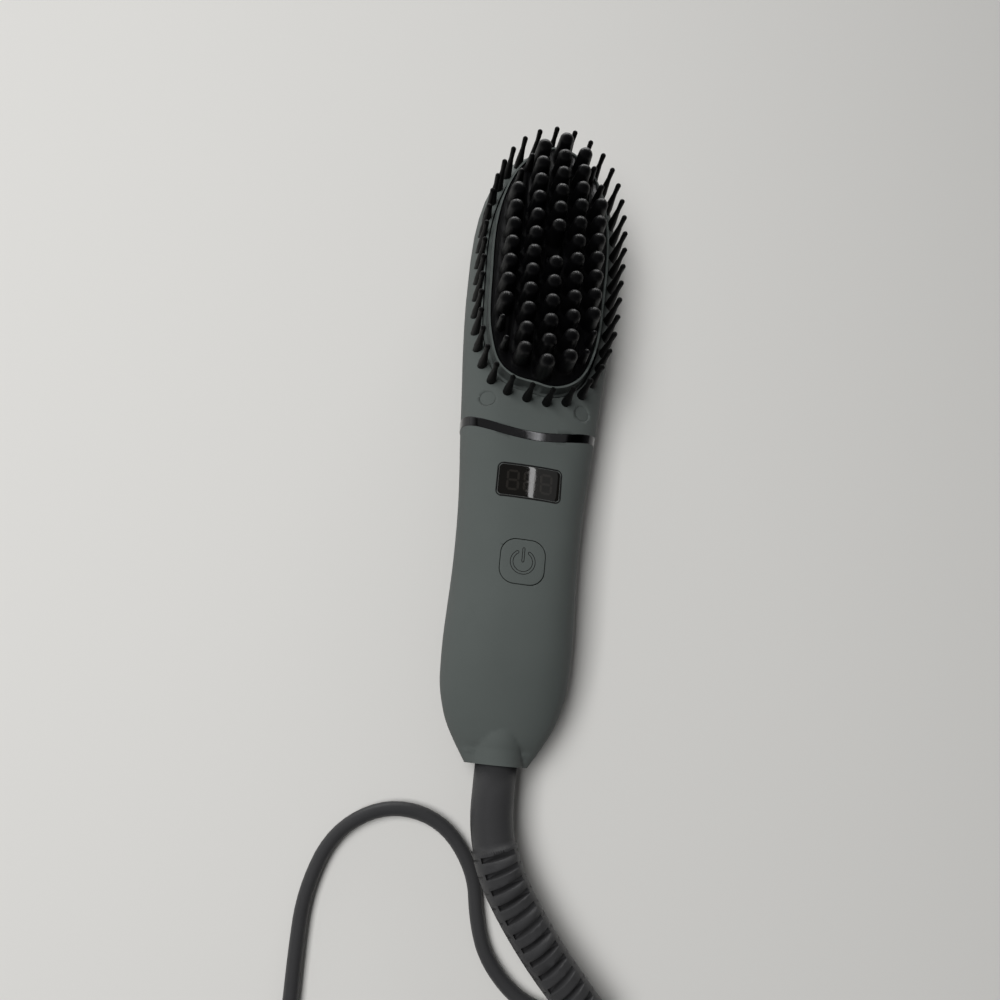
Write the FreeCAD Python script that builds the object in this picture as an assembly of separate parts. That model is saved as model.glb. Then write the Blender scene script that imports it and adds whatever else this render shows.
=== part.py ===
"""Heated hair straightening brush, lying on its back with the bristles up.

Frame: millimetres, +Z up, +Y from the cord end to the head's tip, X across.
Everything is drawn in stations: Y counts from the flat end of the handle.
save() then moves it so that the origin is on the floor, under the middle of the body.
"""
import FreeCAD, Part
import math
import os
from FreeCAD import Vector

# ---- body ----------------------------------------------------------------------------------
BODY_LENGTH = 265.0          # flat handle end to the tip of the head
TIP_LENGTH = 60.0            # from the head's widest place to its tip
END_HALF_WIDTH = 11.2        # flat end of the handle
GRIP_HALF_WIDTH = 24.2       # bulge of the handle
WAIST_HALF_WIDTH = 23.8      # at the button
NECK_HALF_WIDTH = 26.9       # at the trim band
HEAD_HALF_WIDTH = 32.1       # widest place of the head
END_TOP = 16.5               # flat end, edge on the bristle side
END_BOTTOM = 4.5             # flat end, edge on the back
GRIP_HEIGHT = 31.0           # bristle side of the grip above the floor
HEAD_HEIGHT = 28.5           # bristle side of the head above the floor
PARTING_HEIGHT = 13.5        # the front and back shells meet here
REST_DEPTH = 0.7             # the back is flattened by this much, so that it lies still
GRIP_FULLNESS = 2.5          # superellipse exponent of the grip's bristle side
HEAD_FULLNESS = 3.0          # the same on the head
BACK_FULLNESS = 2.35         # the same all along the back
TIP_FULLNESS = 2.4           # plan view of the head's tip
TIP_ROUNDING = 3.4           # side view of the head's tip
WALL = 1.8                   # housing wall
QUADRANT_STEPS = 4           # points on a quarter of a cross-section
FINE_STEPS = 200             # steps that measure the length of that quarter

# ---- trim band between handle and head -------------------------------------------------------
BAND_STATION = 121.2         # middle of the band on the centre line
BAND_RISE = 5.6              # how far it climbs towards the head at the sides
BAND_WIDTH = 3.8
BAND_WALL = 3.0

# ---- ring of pins --------------------------------------------------------------------------
NECK_MARGIN = 15.2           # from the trim band to the ring's end near the handle
TIP_MARGIN = 4.4             # from the ring's other end to the tip of the head
RIM_MARGIN = 3.1             # from the ring to the side of the head, where it is widest
PIN_COUNT = 38
PIN_TIP_HEIGHT = 41.7
PIN_FOOT_RADIUS = 1.75
PIN_FOOT_STANDS = 2.4        # length of the full foot above the shell
PIN_NECK_RADIUS = 0.95
PIN_NECK_SHARE = 0.6         # neck, as a share of the way from foot to tip
PIN_TIP_RADIUS = 1.1
PIN_TIP_DOME = 0.9
PIN_HOLE_CLEARANCE = 0.08
COMB_BASE = 14.5             # underside of the frame that carries the pins
COMB_THICKNESS = 2.0
COMB_INNER_INSET = 6.0       # inner edge of that frame, inside the pin ring
COMB_OUTER_MARGIN = 0.6      # outer edge of it, outside the pin ring
POST_FROM_NECK = 22.0        # posts that carry the comb, from the ends of the ring
POST_FROM_TIP = 26.0
PEG_SINK = 0.2               # the posts' pegs end this far below the comb's top

# ---- bristle plate and its surround ----------------------------------------------------------
SEAM_INSET = 2.6             # opening of the front shell, inside the pin ring
SEAM_GAP = 0.6               # gap round the surround
SURROUND_RECESS = 0.5        # the surround lies this much below the shell
SURROUND_WALL = 1.8
RIM_WALL = 0.8               # rim of the surround that stands round the plate
RIM_STANDS = 0.3             # above the plate's edge
LEDGE_WIDTH = 3.0            # ledge of the surround that the plate sits on
LEDGE_THICKNESS = 2.0
PLATE_INSET = 5.2            # edge of the bristle plate, inside the pin ring
PLATE_GAP = 0.3
PLATE_BASE = 24.0
PLATE_CROWN = 34.4           # top of the plate along the middle
PLATE_CROWN_RADIUS = 110.0
PLATE_EDGE_RADIUS = 0.8
PLATE_RIM = 2.2              # wall of the plate's hollow underside
PLATE_CEILING = 29.0         # top of that hollow
PLATE_SPINE = 11.5           # half width of the solid middle that holds the heaters
CONE_PITCH_ACROSS = 8.8
CONE_PITCH_ALONG = 8.8
CONE_BASE_RADIUS = 3.8
CONE_TOP_RADIUS = 2.95
CONE_DOME = 2.1
CONE_TIPS = (47.6, 46.3, 43.7)   # tip heights: middle column, next, outer
SLIM_BASE_RADIUS = 2.1
SLIM_TOP_RADIUS = 1.2
SLIM_DOME = 1.0
SLIM_TIP = 42.5
SLIM_INSET = 8.2             # slim cones, inside the pin ring

# ---- heater --------------------------------------------------------------------------------
HEATER_WIDTH = 15.0
HEATER_THICKNESS = 3.2
HEATER_START = 6.0           # each heater begins this far from the centre screw
HEATER_MARGIN = 2.4          # and ends this far from the clamp's screw
MICA_THICKNESS = 0.4
CLAMP_THICKNESS = 1.2
CLAMP_HALF_WIDTH = 9.0
CLAMP_MARGIN = 7.9           # from the clamp's end to the plate's
CLAMP_SCREW_INSET = 2.6
CLAMP_SCREW_LENGTH = 6.0
FIT = 0.2                    # drop-in clearance of inner pieces
FUSE_RADIUS = 1.7
FUSE_LENGTH = 11.0
FUSE_START = 12.0            # from the centre screw towards the tip
SENSOR_RADIUS = 1.2
SENSOR_LENGTH = 6.0
SENSOR_START = 20.0          # from the centre screw towards the handle

# ---- screws --------------------------------------------------------------------------------
SCREW_RADIUS = 1.25
SCREW_FIT = 0.05
SCREW_HEAD_RADIUS = 2.4
SCREW_HEAD_HEIGHT = 1.5
POST_RADIUS = 2.9

# ---- display and button --------------------------------------------------------------------
DISPLAY_MARGIN = 19.4        # from the trim band to the display's middle
DISPLAY_WIDTH = 24.4
DISPLAY_LENGTH = 13.2
DISPLAY_CORNER = 2.6
WINDOW_DEPTH = 3.6           # underside of the window, below the top of the grip
WINDOW_GAP = 0.12
GASKET_THICKNESS = 0.8
GASKET_WIDTH = 1.2
MODULE_WIDTH = 21.4
MODULE_LENGTH = 10.8
BUTTON_DISTANCE = 31.2       # from the display's middle to the button's
BUTTON_SIZE = 16.6
BUTTON_CORNER = 5.6
BUTTON_GAP = 0.25
BUTTON_TRAVEL = 0.6
BUTTON_DEPTH = 3.1           # underside of the cap's face, below the top of the grip
FLANGE_MARGIN = 1.0
FLANGE_THICKNESS = 0.9
STEM_RADIUS = 2.0
STEM_LENGTH = 0.9

# ---- circuit board -------------------------------------------------------------------------
BOARD_THICKNESS = 1.6
BOARD_HALF_WIDTH = 15.0
BOARD_START = 50.0
BOARD_MARGIN = 7.2           # from the board's other end to the trim band
BOARD_SCREW_INSET = 4.0
BOARD_SCREW_LENGTH = 8.0
SWITCH_SIZE = 6.2
SWITCH_HEIGHT = 3.6
PLUNGER_RADIUS = 1.7
PLUNGER_DEPTH = 2.2          # part of the plunger inside the switch
PLUNGER_STANDS = 0.9         # part of it above the switch
RELAY = (15.5, 19.0, 10.5)   # width, length, height
RELAY_PLACE = (4.0, 22.0)    # aside, and back from the board's end
CAPACITOR = (7.0, 15.0, 11.0)
CAPACITOR_PLACE = (-8.5, 26.0)   # aside, and on from the board's start
LEAD_DIAMETER = 2.0
LEAD_SPACING = 9.0
MAINS_SPACING = 4.4
LEAD_PASSAGE = 12.0          # height of the heater's leads where they pass under the pin comb

# ---- screws under plugs, at the neck ---------------------------------------------------------
PLUG_INSET = 7.8             # from the side of the neck
PLUG_MARGIN = 13.9           # from the trim band
PLUG_RADIUS = 3.0
PLUG_DEPTH = 1.6
PLUG_GAP = 0.12
NECK_BOSS_RADIUS = 4.4
NECK_SCREW_SEAT = 17.5
NECK_SCREW_LENGTH = 12.0

# ---- cord exit -----------------------------------------------------------------------------
EXIT_HEIGHT = PARTING_HEIGHT
NOSE_RADIUS = 9.6            # barrel over the exit, which runs into the crown of the grip
NOSE_LENGTH = 14.0
NOSE_DROP = 0.6              # its axis below the middle of the exit
RELIEF_RADIUS = 7.5          # smooth sleeve of the strain relief
RELIEF_NECK_RADIUS = 6.0     # through the end wall
RELIEF_FLANGE_LENGTH = 2.5
FLANGE_ROOM = 4.0            # free length behind the flange
END_WALL = 2.5
NECK_CLEARANCE = 0.05
RELIEF_STRAIGHT = 12.0       # the relief leaves straight, then curves twice, then runs straight
RELIEF_BENDS = ((50.0, 33.2), (170.0, 11.0))     # radius and degrees of each curve
RELIEF_LENGTH = 95.0
SLEEVE_LENGTH = 26.6
RIBS_RADIUS = 7.9            # ribbed part, where it begins
RELIEF_END_RADIUS = 6.7
SLOT_PITCH = 4.8
SLOT_COUNT = 14
SLOT_WIDTH = 1.9             # deep slots with blunt ends, above and below
SLOT_REACH = 0.75            # half of a slot's length across, as a share of the radius there
SLOT_FLOOR = 0.45            # its bottom, as a share of that radius
GROOVE_WIDTH = 0.7           # narrow grooves at the sides, in line with the slots
GROOVE_FLOOR = 0.84

# ---- cord ----------------------------------------------------------------------------------
CORD_DIAMETER = 5.0
CORD_LENGTH = 1800.0         # strain relief to plug
CORD_LIES = CORD_DIAMETER / 2 + 0.05
INNER_CORD_END = 36.0
CLAMP_BAR = (22.0, 7.0, 2.8) # width, length, thickness of the bar over the cord
CLAMP_BAR_STATION = 22.0
CLAMP_BAR_SCREW = 8.0
COIL_RADIUS = 27.5           # middle of the turns
COIL_LAYERS = 3
COIL_CENTRE = Vector(-25.9, -124.0, 0)
TIE_WIDTH = 9.0
TIE_THICKNESS = 0.8
TIE_ANGLE = 60.0
PLUG_BODY = (32.0, 23.0, 15.0)       # length, width, height
PLUG_CORNER = 3.0
PLUG_NOSE = 14.0
BLADE = (17.0, 1.5, 6.3)
BLADE_SPACING = 12.7

# ---- what follows from these sizes -----------------------------------------------------------
MIDDLE = BODY_LENGTH / 2
HEAD_WIDEST = BODY_LENGTH - TIP_LENGTH
RING_BOTTOM = BAND_STATION + NECK_MARGIN
RING_TOP = BODY_LENGTH - TIP_MARGIN
RING_HALF_WIDTH = HEAD_HALF_WIDTH - RIM_MARGIN
PLATE_CENTRE = (RING_BOTTOM + RING_TOP) / 2
PLATE_HALF_LENGTH = (RING_TOP - RING_BOTTOM) / 2 - PLATE_INSET
CONE_ROWS = 2 * int((PLATE_HALF_LENGTH - CONE_BASE_RADIUS) / CONE_PITCH_ALONG) + 1   # the centre one is a screw's
OUTER_ROWS = range(3, CONE_ROWS - 3)     # places of full cones in the outer columns
SMALL_ROWS = (1, 2, CONE_ROWS - 3, CONE_ROWS - 2)    # places of the slim cones near the corners
CLAMP_HALF_LENGTH = PLATE_HALF_LENGTH - CLAMP_MARGIN
CLAMP_SCREW_OFFSET = CLAMP_HALF_LENGTH - CLAMP_SCREW_INSET
HEATER_LENGTH = CLAMP_SCREW_OFFSET - HEATER_MARGIN - HEATER_START
DISPLAY_STATION = BAND_STATION - DISPLAY_MARGIN
BUTTON_STATION = DISPLAY_STATION - BUTTON_DISTANCE
BOARD_END = BAND_STATION - BOARD_MARGIN
PLUG_OFFSET = NECK_HALF_WIDTH - PLUG_INSET
PLUG_STATION = BAND_STATION + PLUG_MARGIN
WINDOW_BASE = GRIP_HEIGHT - WINDOW_DEPTH
BUTTON_BASE = GRIP_HEIGHT - BUTTON_DEPTH
STEM_END = BUTTON_BASE - FLANGE_THICKNESS - STEM_LENGTH      # meets the switch's plunger
BOARD_TOP = STEM_END - PLUNGER_STANDS - SWITCH_HEIGHT
BOARD_BASE = BOARD_TOP - BOARD_THICKNESS
CLAMP_BASE = PLATE_BASE - MICA_THICKNESS - CLAMP_THICKNESS
COMB_TOP = COMB_BASE + COMB_THICKNESS
SPAN = 80.0                  # reaches past the body on every side


def save(name, shape):
    """Moves one node from stations to the part's frame and writes it."""
    placed = shape.translated(Vector(0, -MIDDLE, 0))
    placed.exportStep("parts/" + name + ".step")
    print(f"{name:20s} solids {len(placed.Solids):3d} volume {placed.Volume:10.1f} valid {placed.isValid()}")


# ---- shapes in common ----------------------------------------------------------------------
def box(x0, x1, y0, y1, z0, z1):
    """A box between two corners."""
    return Part.makeBox(x1 - x0, y1 - y0, z1 - z0, Vector(x0, y0, z0))


def block(x, y, size, z0):
    """A box of width, length and height, centred on a place and standing on a height."""
    width, length, height = size
    return box(x - width / 2, x + width / 2, y - length / 2, y + length / 2, z0, z0 + height)


def post(x, y, z0, z1, radius):
    """An upright cylinder."""
    return Part.makeCylinder(radius, z1 - z0, Vector(x, y, z0))


def along(y0, y1, z, radius, x=0.0):
    """A cylinder along the body."""
    return Part.makeCylinder(radius, y1 - y0, Vector(x, y0, z), Vector(0, 1, 0))


def prism(wire, z0, z1):
    """An outline in plan, extruded between two heights."""
    face = Part.Face(wire.translated(Vector(0, 0, z0)))
    return face.extrude(Vector(0, 0, z1 - z0))


def rounded(x, y, width, length, corner, z0, z1):
    """An upright block with rounded corners."""
    shape = block(x, y, (width, length, z1 - z0), z0)
    upright = [e for e in shape.Edges if abs(e.Vertexes[0].Z - e.Vertexes[-1].Z) > 0.5 * (z1 - z0)]
    return shape.makeFillet(corner, upright)


def screw(x, y, seat, length, upward=False):
    """A pan-head screw: the head rests on the seat and the shank leaves it downwards, or upwards."""
    shank = post(x, y, seat - length, seat, SCREW_RADIUS)
    whole = post(x, y, seat, seat + SCREW_HEAD_HEIGHT, SCREW_HEAD_RADIUS).fuse(shank)
    return whole.mirror(Vector(0, 0, seat), Vector(0, 0, 1)) if upward else whole


def screw_hole(x, y, z0, z1):
    """The hole that a screw's shank fills."""
    return post(x, y, z0, z1, SCREW_RADIUS + SCREW_FIT)


def smooth(stations, y):
    """A smooth curve through (station, value) pairs, in monotone cubic pieces."""
    ys = [s for s, _ in stations]
    vs = [v for _, v in stations]
    slopes = [(vs[i + 1] - vs[i]) / (ys[i + 1] - ys[i]) for i in range(len(ys) - 1)]
    tangents = [slopes[0]]
    for before, after in zip(slopes, slopes[1:]):
        tangents.append(0.0 if before * after <= 0 else 2 * before * after / (before + after))
    tangents.append(slopes[-1])
    i = max(0, min(len(ys) - 2, sum(1 for s in ys if s <= y) - 1))
    span = ys[i + 1] - ys[i]
    t = (y - ys[i]) / span
    return (vs[i] * (1 + 2 * t) * (1 - t) ** 2 + vs[i + 1] * t * t * (3 - 2 * t)
            + span * (tangents[i] * t * (1 - t) ** 2 - tangents[i + 1] * t * t * (1 - t)))


def between(first, second, share):
    """The value at a share of the way from one value to another."""
    return first + (second - first) * share


def on_head(share):
    """The station at a share of the way from the trim band to the head's widest place."""
    return between(BAND_STATION, HEAD_WIDEST, share)


# ---- body: half width, front and back heights at stations -------------------------------------
WIDTHS = (
    (0.0, END_HALF_WIDTH),
    (6.0, between(END_HALF_WIDTH, GRIP_HALF_WIDTH, 0.308)),
    (12.0, between(END_HALF_WIDTH, GRIP_HALF_WIDTH, 0.592)),
    (19.0, between(END_HALF_WIDTH, GRIP_HALF_WIDTH, 0.8)),
    (27.0, between(END_HALF_WIDTH, GRIP_HALF_WIDTH, 0.938)),
    (42.0, GRIP_HALF_WIDTH),
    (70.0, WAIST_HALF_WIDTH),
    (95.0, between(WAIST_HALF_WIDTH, NECK_HALF_WIDTH, 0.258)),
    (BAND_STATION, NECK_HALF_WIDTH),
    (on_head(0.284), between(NECK_HALF_WIDTH, HEAD_HALF_WIDTH, 0.385)),
    (on_head(0.523), between(NECK_HALF_WIDTH, HEAD_HALF_WIDTH, 0.712)),
    (on_head(0.761), between(NECK_HALF_WIDTH, HEAD_HALF_WIDTH, 0.923)),
    (HEAD_WIDEST, HEAD_HALF_WIDTH),
)
FRONTS = (
    (0.0, END_TOP),
    (12.0, between(END_TOP, GRIP_HEIGHT, 0.414)),
    (25.0, between(END_TOP, GRIP_HEIGHT, 0.71)),
    (38.0, between(END_TOP, GRIP_HEIGHT, 0.91)),
    (56.0, GRIP_HEIGHT),
    (76.0, GRIP_HEIGHT),
    (BAND_STATION, between(GRIP_HEIGHT, HEAD_HEIGHT, 0.68)),
    (on_head(0.284), between(GRIP_HEIGHT, HEAD_HEIGHT, 0.92)),
    (HEAD_WIDEST, HEAD_HEIGHT),
)
BACKS = (
    (0.0, END_BOTTOM),
    (14.0, 1.6),
    (32.0, -0.3),
    (52.0, -REST_DEPTH),
    (HEAD_WIDEST, -REST_DEPTH),
)
FULLNESS = (
    (0.0, 2.0),
    (30.0, 2.25),
    (60.0, GRIP_FULLNESS),
    (BAND_STATION, 2.75),
    (on_head(0.523), HEAD_FULLNESS),
    (HEAD_WIDEST, HEAD_FULLNESS),
)
HANDLE_STATIONS = (0.0, 4.0, 8.0, 13.0, 19.0, 26.0, 34.0, 43.0, 53.0, 66.0, 80.0, 95.0, 108.0, 121.0)
HEAD_SHARES = (0.141, 0.284, 0.427, 0.57, 0.714, 0.857, 1.0)
TIP_STEPS = (0.2, 0.36, 0.5, 0.62, 0.72, 0.81, 0.88, 0.935, 0.97, 0.99, 0.998)


def closing(share, fullness):
    """How much of the full size is left at a share of the way to the tip."""
    return (1 - share ** fullness) ** (1 / fullness)


def sizes(y):
    """Half width, front and back reach from the parting plane, and front exponent at a station."""
    share = max(0.0, (y - HEAD_WIDEST) / (BODY_LENGTH - HEAD_WIDEST))
    level = min(y, HEAD_WIDEST)
    half = smooth(WIDTHS, level) * closing(share, TIP_FULLNESS)
    depth = closing(share, TIP_ROUNDING)
    front = (smooth(FRONTS, level) - PARTING_HEIGHT) * depth
    back = (PARTING_HEIGHT - smooth(BACKS, level)) * depth
    return half, front, back, smooth(FULLNESS, level)


def front_height(x, y):
    """Height of the body's bristle side at a place."""
    half, front, _, fullness = sizes(y)
    return PARTING_HEIGHT + front * (1 - (abs(x) / half) ** fullness) ** (1 / fullness)


def quadrant(half, height, power):
    """Evenly spaced points of a quarter superellipse, from the side to the middle line."""
    fine = []
    for i in range(FINE_STEPS):
        angle = math.pi / 2 * i / FINE_STEPS
        fine.append((half * math.cos(angle) ** (2 / power), height * math.sin(angle) ** (2 / power)))
    fine.append((0.0, height))
    lengths = [0.0]
    for (x0, z0), (x1, z1) in zip(fine, fine[1:]):
        lengths.append(lengths[-1] + math.hypot(x1 - x0, z1 - z0))
    points = []
    for k in range(QUADRANT_STEPS):
        target = lengths[-1] * k / QUADRANT_STEPS
        i = max(j for j, length in enumerate(lengths) if length <= target)
        share = (target - lengths[i]) / (lengths[i + 1] - lengths[i])
        points.append(tuple(a + share * (b - a) for a, b in zip(fine[i], fine[i + 1])))
    return points


def section(y, inset, at):
    """The closed cross-section of station y, inset by a wall and set at another station."""
    half, front, back, fullness = sizes(y)
    half = max(half - inset, 0.3)
    front = max(front - inset, 0.3)
    back = max(back - inset - (REST_DEPTH if inset else 0.0), 0.3)
    top = quadrant(half, front, fullness)
    low = quadrant(half, back, BACK_FULLNESS)
    ring = top + [(0.0, front)] + [(-x, z) for x, z in reversed(top[1:])]
    ring += [(-x, -z) for x, z in low] + [(0.0, -back)] + [(x, -z) for x, z in reversed(low[1:])]
    curve = Part.BSplineCurve()
    points = [Vector(x, at, PARTING_HEIGHT + z) for x, z in ring]
    curve.interpolate(points, PeriodicFlag=True, Parameters=[float(i) for i in range(len(ring) + 1)])
    return Part.Wire(curve.toShape())


def body(inset=0.0):
    """The form of the body, or of the room inside it, flattened at the floor."""
    tips = [HEAD_WIDEST + (BODY_LENGTH - HEAD_WIDEST) * t for t in TIP_STEPS]
    scale = (BODY_LENGTH - 2 * inset) / BODY_LENGTH
    stations = list(HANDLE_STATIONS) + [on_head(share) for share in HEAD_SHARES] + tips
    wires = [section(y, inset, inset + y * scale) for y in stations]
    solid = Part.makeLoft(wires, True, True)
    return solid.common(box(-SPAN, SPAN, -SPAN, BODY_LENGTH + SPAN, 0, SPAN))


# ---- outlines of the head ----------------------------------------------------------------------
RING_SHAPE = (               # share of the ring's length, share of its half width
    (0.052, 0.634),
    (0.162, 0.862),
    (0.415, 0.976),
    (0.560, 1.0),
    (0.798, 0.869),
    (0.919, 0.614),
)
OUTLINE_POINTS = 28


def ring_curve():
    """The line on which the pins stand, in plan, from the end near the handle."""
    length = RING_TOP - RING_BOTTOM
    right = [Vector(RING_HALF_WIDTH * w, RING_BOTTOM + length * s, 0) for s, w in RING_SHAPE]
    left = [Vector(-p.x, p.y, 0) for p in reversed(right)]
    curve = Part.BSplineCurve()
    curve.interpolate([Vector(0, RING_BOTTOM, 0)] + right + [Vector(0, RING_TOP, 0)] + left, PeriodicFlag=True)
    return curve


def outline(inset):
    """The pin line moved inwards, or outwards for a negative inset, as a closed wire."""
    curve = ring_curve()
    points = []
    for spot in Part.Wire(curve.toShape()).discretize(Number=OUTLINE_POINTS + 1)[:-1]:
        along_line = curve.tangent(curve.parameter(spot))[0]
        points.append(spot + Vector(-along_line.y, along_line.x, 0) * inset)
    moved = Part.BSplineCurve()
    moved.interpolate(points, PeriodicFlag=True)
    return Part.Wire(moved.toShape())


def pin_places():
    """Where the pins stand: evenly spaced, with one either side of each end."""
    wire = Part.Wire(ring_curve().toShape())
    return wire.discretize(Number=2 * PIN_COUNT + 1)[1::2]


def edge_at(wire, y):
    """Half width of a plan outline at a station."""
    spots = wire.discretize(Number=400)
    return max(abs(p.x) for p in spots if abs(p.y - y) < 0.6)


# ---- trim band ---------------------------------------------------------------------------------
def band_line(offset):
    """The band's wavy edge in plan: lowest on the centre line, climbing to the sides."""
    def rise(x):
        return BAND_RISE * (1 - math.cos(math.pi * x / (2 * NECK_HALF_WIDTH)))
    xs = [NECK_HALF_WIDTH * k / 4 for k in range(-5, 6)]
    curve = Part.BSplineCurve()
    curve.interpolate([Vector(x, BAND_STATION + offset + rise(x), 0) for x in xs])
    return curve.toShape()


def beyond_band(offset, far):
    """All the room on one side of the band's edge, as far as a station."""
    edge = band_line(offset)
    first, last = edge.Vertexes[0].Point, edge.Vertexes[-1].Point
    corners = [last, Vector(last.x, far, 0), Vector(first.x, far, 0), first]
    sides = [Part.LineSegment(a, b).toShape() for a, b in zip(corners, corners[1:])]
    return prism(Part.Wire([edge] + sides), 0, SPAN)


def above(height):
    """All the room above a height."""
    return box(-SPAN, SPAN, -SPAN, BODY_LENGTH + SPAN, height, 2 * SPAN)


# ---- housing -----------------------------------------------------------------------------------
def exit_bore():
    """Room for the strain relief's neck and flange in the handle's end."""
    neck = along(-1, END_WALL, EXIT_HEIGHT, RELIEF_NECK_RADIUS + NECK_CLEARANCE)
    room = END_WALL + RELIEF_FLANGE_LENGTH + FLANGE_ROOM
    flange = along(END_WALL, room, EXIT_HEIGHT, RELIEF_RADIUS + NECK_CLEARANCE)
    return neck.fuse(flange)


def barrel(length):
    """The round stock over the cord's exit, from the flat end of the handle."""
    return along(0, length, EXIT_HEIGHT - NOSE_DROP, NOSE_RADIUS)


def nose(inner):
    """The nose over the cord's exit, on the bristle side: a hollow barrel with a full end wall."""
    return barrel(NOSE_LENGTH).cut(inner).fuse(barrel(END_WALL)).common(above(PARTING_HEIGHT))


def neck_places():
    """The two screws under the round plugs at the neck."""
    return [(side * PLUG_OFFSET, PLUG_STATION) for side in (-1, 1)]


def board_places():
    """The four screws of the circuit board."""
    side = BOARD_HALF_WIDTH - BOARD_SCREW_INSET
    ends = (BOARD_START + BOARD_SCREW_INSET, BOARD_END - BOARD_SCREW_INSET)
    return [(x, y) for x in (-side, side) for y in ends]


def clamp_bar_places():
    """The two screws of the bar over the cord."""
    return [(side * CLAMP_BAR_SCREW, CLAMP_BAR_STATION) for side in (-1, 1)]


def comb_places():
    """The four posts that carry the pin comb, with the pegs that are melted over to hold it."""
    inset = (COMB_INNER_INSET - COMB_OUTER_MARGIN) / 2
    wire = outline(inset)
    places = []
    for y in (RING_BOTTOM + POST_FROM_NECK, RING_TOP - POST_FROM_TIP):
        places += [(-edge_at(wire, y), y), (edge_at(wire, y), y)]
    return places


def front_shells(outer, inner):
    """The two bristle-side shells."""
    shell = outer.cut(inner).common(above(PARTING_HEIGHT))
    bosses = [post(x, y, PARTING_HEIGHT, front_height(x, y), NECK_BOSS_RADIUS) for x, y in neck_places()]
    shell = shell.fuse([boss.common(outer) for boss in bosses])
    head = shell.common(beyond_band(BAND_WIDTH / 2, BODY_LENGTH + SPAN))
    cuts = [prism(outline(SEAM_INSET), PARTING_HEIGHT, SPAN)]
    hole = PIN_FOOT_RADIUS + PIN_HOLE_CLEARANCE
    cuts += [post(p.x, p.y, PARTING_HEIGHT - 1, SPAN, hole) for p in pin_places()]
    for x, y in neck_places():
        cuts.append(post(x, y, NECK_SCREW_SEAT, SPAN, PLUG_RADIUS))
        cuts.append(screw_hole(x, y, 0, NECK_SCREW_SEAT))
    head = head.cut(cuts)
    handle = shell.common(beyond_band(-BAND_WIDTH / 2, -SPAN))
    handle = handle.fuse(nose(inner))
    button = rounded(0, BUTTON_STATION, BUTTON_SIZE + 2 * BUTTON_GAP, BUTTON_SIZE + 2 * BUTTON_GAP,
                     BUTTON_CORNER + BUTTON_GAP, BUTTON_BASE - 2, SPAN)
    window = rounded(0, DISPLAY_STATION, DISPLAY_WIDTH, DISPLAY_LENGTH, DISPLAY_CORNER, WINDOW_BASE - 2, SPAN)
    handle = handle.cut([exit_bore(), button, window])
    return head, handle


def back_shells(outer, inner):
    """The two back shells with the posts inside them."""
    floor = WALL / 2
    shell = outer.cut(inner).cut(above(PARTING_HEIGHT))
    head = shell.common(beyond_band(BAND_WIDTH / 2, BODY_LENGTH + SPAN))
    posts = [post(x, y, floor, PARTING_HEIGHT, NECK_BOSS_RADIUS) for x, y in neck_places()]
    posts += [post(x, y, floor, COMB_BASE, POST_RADIUS) for x, y in comb_places()]
    posts += [post(x, y, floor, COMB_TOP - PEG_SINK, SCREW_RADIUS) for x, y in comb_places()]
    head = head.fuse([p.common(outer) for p in posts])
    holes = [screw_hole(x, y, NECK_SCREW_SEAT - NECK_SCREW_LENGTH, SPAN) for x, y in neck_places()]
    head = head.cut(holes)
    handle = shell.common(beyond_band(-BAND_WIDTH / 2, -SPAN))
    bar_base = EXIT_HEIGHT
    posts = [post(x, y, floor, BOARD_BASE, POST_RADIUS) for x, y in board_places()]
    posts += [post(x, y, floor, bar_base, POST_RADIUS) for x, y in clamp_bar_places()]
    saddle = block(0, CLAMP_BAR_STATION, (6.0, CLAMP_BAR[1], EXIT_HEIGHT - CORD_DIAMETER / 2 - floor), floor)
    end = barrel(END_WALL).common(outer).cut(above(PARTING_HEIGHT))
    handle = handle.fuse([p.common(outer) for p in posts] + [saddle.common(outer), end])
    holes = [screw_hole(x, y, BOARD_TOP - BOARD_SCREW_LENGTH, SPAN) for x, y in board_places()]
    holes += [screw_hole(x, y, bar_base - BOARD_SCREW_LENGTH + CLAMP_BAR[2], SPAN) for x, y in clamp_bar_places()]
    return head, handle.cut(holes + [exit_bore()])


def trim_band(outer):
    """The glossy band: a ring that follows the body's section."""
    strip = beyond_band(-BAND_WIDTH / 2, BODY_LENGTH).cut(beyond_band(BAND_WIDTH / 2, BODY_LENGTH + 1))
    return outer.common(strip).cut(body(BAND_WALL))


# ---- head ----------------------------------------------------------------------------------------
def pin(x, y):
    """One pin of the comb: a full foot through the shell, a slim neck and a rounded tip."""
    foot = front_height(x, y) + PIN_FOOT_STANDS
    neck = foot + (PIN_TIP_HEIGHT - foot) * PIN_NECK_SHARE
    rim = PIN_TIP_HEIGHT - PIN_TIP_DOME
    corners = [(0, COMB_BASE), (PIN_FOOT_RADIUS, COMB_BASE), (PIN_FOOT_RADIUS, foot),
               (PIN_NECK_RADIUS, neck), (PIN_TIP_RADIUS, rim)]
    return turned(x, y, corners, PIN_TIP_HEIGHT)


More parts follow.
